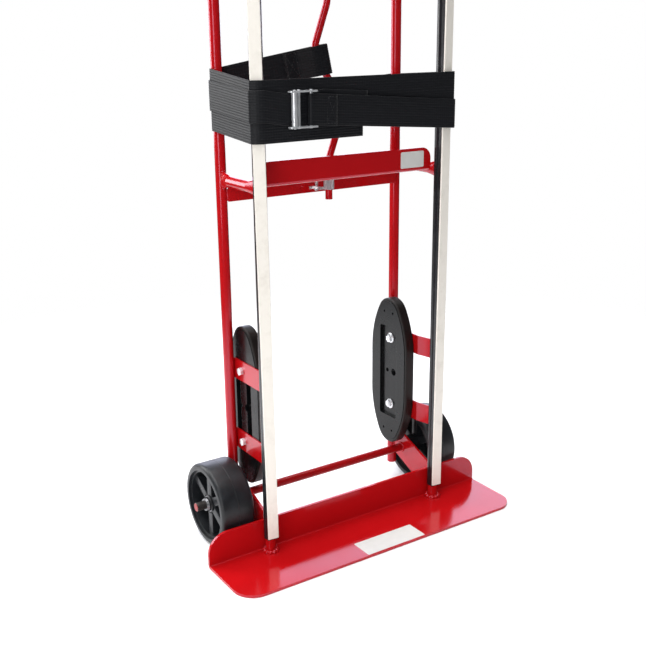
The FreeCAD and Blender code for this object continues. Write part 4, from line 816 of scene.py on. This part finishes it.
def saddle(x, y, z, half_width, half_height, way):
    """Oval where a pipe's end meets an upright tube whose axis is at x, y; way is 1 behind it, -1 before."""
    line = []
    for step in range(RING_STEPS):
        angle = 2 * math.pi * step / RING_STEPS
        beside = half_width * math.sin(angle)
        out = math.sqrt(TUBE_RADIUS ** 2 - min(beside ** 2, SADDLE_LIMIT * TUBE_RADIUS ** 2))
        line.append(Vector((x + beside, y + way * out, z + half_height * math.cos(angle))))
    return line


def upright_seam(x, y, low, high):
    return [Vector((x, y, low)), Vector((x, y, high))]


def middle_height(node):
    low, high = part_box(node)
    return (low.z + high.z) / 2


# %% Beads of the frame
# How thick each bead is, and where the CAD pieces meet that it follows.
FOOT_BEAD, FOOT_RISE, FOOT_OUT = 4.1 * MM, 1.5 * MM, 1.6 * MM
PLATE_BEAD, AXLE_BEAD, SPACER_BEAD, SEAM_BEAD, BOW_BEAD = (size * MM for size in (2.2, 2.4, 2.0, 1.9, 1.5))
PLATE_HALF, PLATE_FOOT, PLATE_STEP, PLATE_TOP = (size * MM for size in (2.4, 14, 61, 116))
AXLE_RING_OUT = 0.4 * MM
CRUSHED_HALF = (3.6 * MM, 14.8 * MM)
BRACKET_FRONT_X, BRACKET_FRONT_OUT, BRACKET_REAR_Y = 186.4 * MM, 0.2 * MM, 104.9 * MM
CROWN_SHARE = 0.985
EDGE_SEAM_BACK, EDGE_SEAM_BELOW_WEB = 1.6 * MM, 16 * MM
WEB_SEAM_X, WEB_SEAM_RISE, WEB_SEAM_RUN = 178.2 * MM, 1.5 * MM, (2 * MM, 60 * MM)

for side, sign in SIDES:
    x = sign * tube_middle.x
    foot = level_ring(x, RAIL_Y, TOE_TOP + FOOT_RISE, TUBE_RADIUS + FOOT_OUT)
    weld(f"weld_rail_foot_{side}", [(foot, FOOT_BEAD, True)])
    plates = [
        (upright_seam(x + face * PLATE_HALF, y, low, high), PLATE_BEAD, False)
        for y, low, high in ((TUBE_FRONT, PLATE_STEP, PLATE_TOP), (FLANGE_BACK, PLATE_FOOT, PLATE_STEP))
        for face in (-1, 1)
    ]
    axle_ring = ring_round_axle(x - sign * (PLATE_HALF + AXLE_RING_OUT))
    weld(f"weld_axle_plate_{side}", plates + [(axle_ring, AXLE_BEAD, True)])
    spacers = []
    for level in ("mid", "upper"):
        height = middle_height(f"spacer_{level}_{side}")
        spacers.append((saddle(x, RAIL_Y, height, *CRUSHED_HALF, 1), SPACER_BEAD, True))
        spacers.append((saddle(x, tube_middle.y, height, *CRUSHED_HALF, -1), SPACER_BEAD, True))
    weld(f"weld_spacers_{side}", spacers)
    brackets = []
    for level in ("lower", "upper"):
        low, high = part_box(f"climber_bracket_{level}_{side}")
        for seam_x, seam_y in ((sign * BRACKET_FRONT_X, RAIL_BACK + BRACKET_FRONT_OUT),
                               (x - sign * TUBE_RADIUS, BRACKET_REAR_Y)):
            brackets.append((upright_seam(seam_x, seam_y, low.z + MM, high.z - MM), SEAM_BEAD, False))
    weld(f"weld_climber_brackets_{side}", brackets)
    weld(f"weld_crown_{side}", [
        (saddle(x, tube_middle.y, RAIL_CROWN, TUBE_RADIUS * CROWN_SHARE, TUBE_RADIUS, -1), SPACER_BEAD, True),
        (level_ring(x, tube_middle.y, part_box("handle_bow")[0].z, TUBE_RADIUS), BOW_BEAD, True),
    ])
    cross = []
    for level in ("mid", "upper"):
        low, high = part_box(f"{level}_cross_member")
        web = middle_height(f"spacer_{level}_{side}")
        edge = upright_seam(sign * high.x, TUBE_FRONT + EDGE_SEAM_BACK, low.z + MM, web - EDGE_SEAM_BELOW_WEB)
        along_web = [Vector((sign * WEB_SEAM_X, y, web + WEB_SEAM_RISE)) for y in WEB_SEAM_RUN]
        cross += [(edge, SEAM_BEAD, False), (along_web, SEAM_BEAD, False)]
    weld(f"weld_cross_members_{side}", cross)

# %% [markdown]
# ## Stitches
# The strap's two ends are sewn back with a box of heavy thread and a cross inside it. A stitch is a short
# plump loop, so each one is a small spindle laid on the webbing, in rows, all in one mesh for each seam.

# %% Sewn boxes
STITCH_LENGTH = 3.6 * MM
STITCH_PITCH = 4.6 * MM
STITCH_RADIUS = 0.5 * MM
STITCH_FLATNESS = 0.7
SPINDLE_RINGS = 5
SPINDLE_SIDES = 6
SEAM_INSET, SEAM_MARGIN = 2 * MM, 4 * MM


def add_stitches(mesh, start, end, out):
    """A row of spindles from start to end on a face whose outward normal is out."""
    run = end - start
    way = run.normalized()
    beside = way.cross(out)
    count = max(1, int(run.length / STITCH_PITCH))
    for stitch in range(count):
        middle = start + run * ((stitch + 0.5) / count)
        rings = []
        for step in range(SPINDLE_RINGS):
            share = (step + 0.5) / SPINDLE_RINGS
            plump = STITCH_RADIUS * math.sin(math.pi * share) ** 0.5
            centre = middle + way * STITCH_LENGTH * (share - 0.5)
            rings.append([
                mesh.verts.new(centre + (beside * math.cos(a) + out * STITCH_FLATNESS * math.sin(a)) * plump)
                for a in (2 * math.pi * corner / SPINDLE_SIDES for corner in range(SPINDLE_SIDES))
            ])
        skin_rings(mesh, rings, False)


def sewn_box(name, start, end, out, lift, length, body):
    """Four sides and two diagonals of stitches, lifted off a run of the strap to the face that shows."""
    middle, way = (start + end) / 2 + out * lift, (start - end).normalized()
    up = out.cross(way) * (STRAP_WIDTH / 2 - SEAM_MARGIN)
    half = way * (length / 2 - SEAM_INSET)
    corners = [middle - half - up, middle + half - up, middle + half + up, middle - half + up]
    shaped = bmesh.new()
    for first, second in ((0, 1), (1, 2), (2, 3), (3, 0), (0, 2), (1, 3)):
        add_stitches(shaped, corners[first], corners[second], out)
    return add_piece(name, finished_mesh(name, shaped), THREAD, body)


sewn_box("stitches_buckle_seam", *outer_turn_line()[:2], Vector((0, -1, 0)), 0, SEAM, "frame")
crank_stitches = sewn_box("stitches_crank_seam", *crank_end_line()[:2], -rearwards, STRAP_THICK,
                          LOOP_SEAM, None)
crank_end_line()[2]
crank_end_line()[-1]
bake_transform(crank_stitches)

# %% [markdown]
# ## Tyres and turned trim
# Some things are bodies of revolution: the tyres, the moulding seam round each of them and the flange under
# each climber nut. A profile of a few points is spun round an axis along X. Blender's Screw modifier could
# do it too, but a short loop gives a closed mesh at once. The tyres are a little wider here than the CAD
# model's, as the picture shows them, and reach more to the inside than to the outside.

# %% Tyres, seams and flanges
SPIN_STEPS, FLANGE_STEPS = 128, 40
SHARP_ABOVE = 40


def add_spun(mesh, profile, centre_y, centre_z, steps):
    """Spin a closed profile of x and radius pairs about an axis along X."""
    rings = []
    for step in range(steps):
        angle = 2 * math.pi * step / steps
        across, up = math.cos(angle), math.sin(angle)
        rings.append([mesh.verts.new((x, centre_y + radius * across, centre_z + radius * up))
                      for x, radius in profile])
    skin_rings(mesh, rings, True)


def spun_piece(name, profiles, finish, body, steps=SPIN_STEPS):
    """One piece from a list of profiles, smooth but for its sharp edges."""
    shaped = bmesh.new()
    for profile, centre_y, centre_z in profiles:
        add_spun(shaped, profile, centre_y, centre_z, steps)
    mesh = finished_mesh(name, shaped)
    mesh.set_sharp_from_angle(angle=math.radians(SHARP_ABOVE))
    return add_piece(name, mesh, finish, body)


def tyre_profile(inside, outside, bore, tread):
    """Flat tread, round shoulders, flat sides and a straight bore, from the inside to the outside face."""
    way = math.copysign(SHOULDER, outside - inside)
    angles = [math.radians(QUARTER * step / SHOULDER_STEPS) for step in range(SHOULDER_STEPS + 1)]
    rounds = [(way * (1 - math.cos(a)), tread - SHOULDER * (1 - math.sin(a))) for a in angles]
    inner = [(inside + along, radius) for along, radius in rounds]
    outer = [(outside - along, radius) for along, radius in rounds]
    return [(inside, bore)] + inner + outer[::-1] + [(outside, bore)]


TYRE_WIDER_OUT, TYRE_WIDER_IN = 5 * MM, 9 * MM
SHOULDER = 7 * MM
SHOULDER_STEPS = 6
SEAM_HALF = 0.8 * MM
SEAM_RISE = 0.35 * MM
SEAM_SINK = 0.5 * MM
NUT_FLANGE_RADIUS = 10 * MM
NUT_FLANGE_EDGE = 1.2 * MM
NUT_FLANGE_CONE = 2.2 * MM
NUT_FLANGE_TOP = 7.4 * MM
NUT_FLANGE_BORE = 4.4 * MM
bolt_low, bolt_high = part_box("climber_bolts")
BOLT_Y = (bolt_low.y + bolt_high.y) / 2
NUT_HALF = (bolt_high.y - bolt_low.y) / 2
NUT_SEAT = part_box("climber_nuts")[1].x
flanges = []
for side, sign in SIDES:
    low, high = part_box(f"tyre_{side}")
    inside, outside = (high.x, low.x) if side == "left" else (low.x, high.x)
    inside, outside = inside - sign * TYRE_WIDER_IN, outside + sign * TYRE_WIDER_OUT
    rim_low, rim_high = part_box(f"wheel_core_{side}")
    rim, tread = (rim_high.z - rim_low.z) / 2, (high.z - low.z) / 2
    tyre = spun_piece(f"moulded_tyre_{side}", [
        (tyre_profile(inside, outside, rim, tread), AXLE_MIDDLE.y, AXLE_MIDDLE.z)],
        FINISHES["tyre_rubber"], f"wheel_{side}")
    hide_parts(f"tyre_{side}")
    seam_x = (inside + outside) / 2
    profile = [(seam_x - SEAM_HALF, tread - SEAM_SINK), (seam_x - SEAM_HALF, tread),
               (seam_x, tread + SEAM_RISE), (seam_x + SEAM_HALF, tread),
               (seam_x + SEAM_HALF, tread - SEAM_SINK)]
    spun_piece(f"tyre_moulding_seam_{side}", [(profile, AXLE_MIDDLE.y, AXLE_MIDDLE.z)],
               FINISHES["tyre_rubber"], f"wheel_{side}")
    for height in (bolt_low.z + NUT_HALF, bolt_high.z - NUT_HALF):
        seat = sign * NUT_SEAT
        cone = [(seat, NUT_FLANGE_BORE), (seat, NUT_FLANGE_RADIUS),
                (seat - sign * NUT_FLANGE_EDGE, NUT_FLANGE_RADIUS),
                (seat - sign * NUT_FLANGE_CONE, NUT_FLANGE_TOP),
                (seat - sign * NUT_FLANGE_CONE, NUT_FLANGE_BORE)]
        flanges.append((cone, BOLT_Y, height))
spun_piece("climber_nut_flanges", flanges, FINISHES["zinc_steel"], "frame", FLANGE_STEPS)

# %% [markdown]
# ## Wheel spokes
# Each spoke of a wheel core is moulded as two ribs under one broad, slightly crowned face. The CAD model has
# the ribs. The faces are added here: six plates on each side of the web, from the hub to the rim.

# %% Spoke faces
SPOKES = 6
FIRST_SPOKE = 30
SPOKE_FROM, SPOKE_TO = 18.2 * MM, 60.6 * MM
SPOKE_HALF = 7.8 * MM
SPOKE_RIB_EDGE = 18.5 * MM
SPOKE_ABOVE, SPOKE_CROWN = 0.2 * MM, 0.9 * MM
SPOKE_COLUMNS = 6


def add_spoke_face(mesh, centre, angle, way):
    """A crowned plate over two ribs; way says on which side of the web along X."""
    out = Vector((0, math.cos(angle), math.sin(angle)))
    beside = Vector((0, -math.sin(angle), math.cos(angle)))
    rows = []
    for reach in (SPOKE_FROM, SPOKE_TO):
        row = []
        for column in range(SPOKE_COLUMNS + 1):
            across = 2 * column / SPOKE_COLUMNS - 1
            rise = Vector((way * (SPOKE_RIB_EDGE + SPOKE_ABOVE + SPOKE_CROWN * (1 - across ** 2)), 0, 0))
            row.append(mesh.verts.new(centre + out * reach + beside * across * SPOKE_HALF + rise))
        row += [mesh.verts.new(centre + out * reach + beside * across * SPOKE_HALF) for across in (1, -1)]
        rows.append(row)
    skin_rings(mesh, rows, False)


for side in ("left", "right"):
    low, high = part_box(f"tyre_{side}")
    centre = Vector(((low.x + high.x) / 2, AXLE_MIDDLE.y, AXLE_MIDDLE.z))
    shaped = bmesh.new()
    for spoke in range(SPOKES):
        for way in (-1, 1):
            add_spoke_face(shaped, centre, math.radians(FIRST_SPOKE + 4 * QUARTER * spoke / SPOKES), way)
    faces = finished_mesh(f"spoke_faces_{side}", shaped, smooth=False)
    add_piece(f"spoke_faces_{side}", faces, FINISHES["wheel_plastic"], f"wheel_{side}")

# %% [markdown]
# ## Blank labels
# A label is a thin film with round corners. Each is a filled outline pushed out by its thickness, laid on the
# face that it sticks to.

# %% Label pieces
LABEL_THICK = 0.15 * MM
LABEL_CORNER_STEPS = 5


def label(name, middle, up, width, height, corner):
    """A rounded film across the truck, whose other side runs along up, raised off the face under it."""
    across = Vector((1, 0, 0))
    outline = []
    for sign_x, sign_y, first in ((1, 1, 0), (-1, 1, 1), (-1, -1, 2), (1, -1, 3)):
        for step in range(LABEL_CORNER_STEPS + 1):
            angle = math.radians(QUARTER * (first + step / LABEL_CORNER_STEPS))
            outline.append(across * (sign_x * (width / 2 - corner) + corner * math.cos(angle))
                           + up * (sign_y * (height / 2 - corner) + corner * math.sin(angle)))
    rise = across.cross(up) * LABEL_THICK
    count = len(outline)
    vertices = [middle + point for point in outline] + [middle + point + rise for point in outline]
    faces = [tuple(reversed(range(count))), tuple(range(count, 2 * count))]
    faces += [(place, (place + 1) % count, count + (place + 1) % count, count + place)
              for place in range(count)]
    mesh = bpy.data.meshes.new(name)
    mesh.from_pydata(vertices, [], faces)
    add_piece(name, mesh, LABEL_FILM, "frame")
    print(f"{name}: {width / MM:.0f} by {height / MM:.0f} mm")


CROSS_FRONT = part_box("mid_cross_member")[0].y
# Each label: name, middle, the way its height runs, width, height and corner radius.
LABELS = [
    ("label_cross_member", (136 * MM, CROSS_FRONT, 679 * MM), (0, 0, 1), 52 * MM, 29 * MM, 2.5 * MM),
    ("label_toe_plate", (12.5 * MM, -120.5 * MM, TOE_TOP), (0, 1, 0), 129 * MM, 46 * MM, 2 * MM),
]
for name, middle, up, *sizes in LABELS:
    label(name, Vector(middle), Vector(up), *sizes)
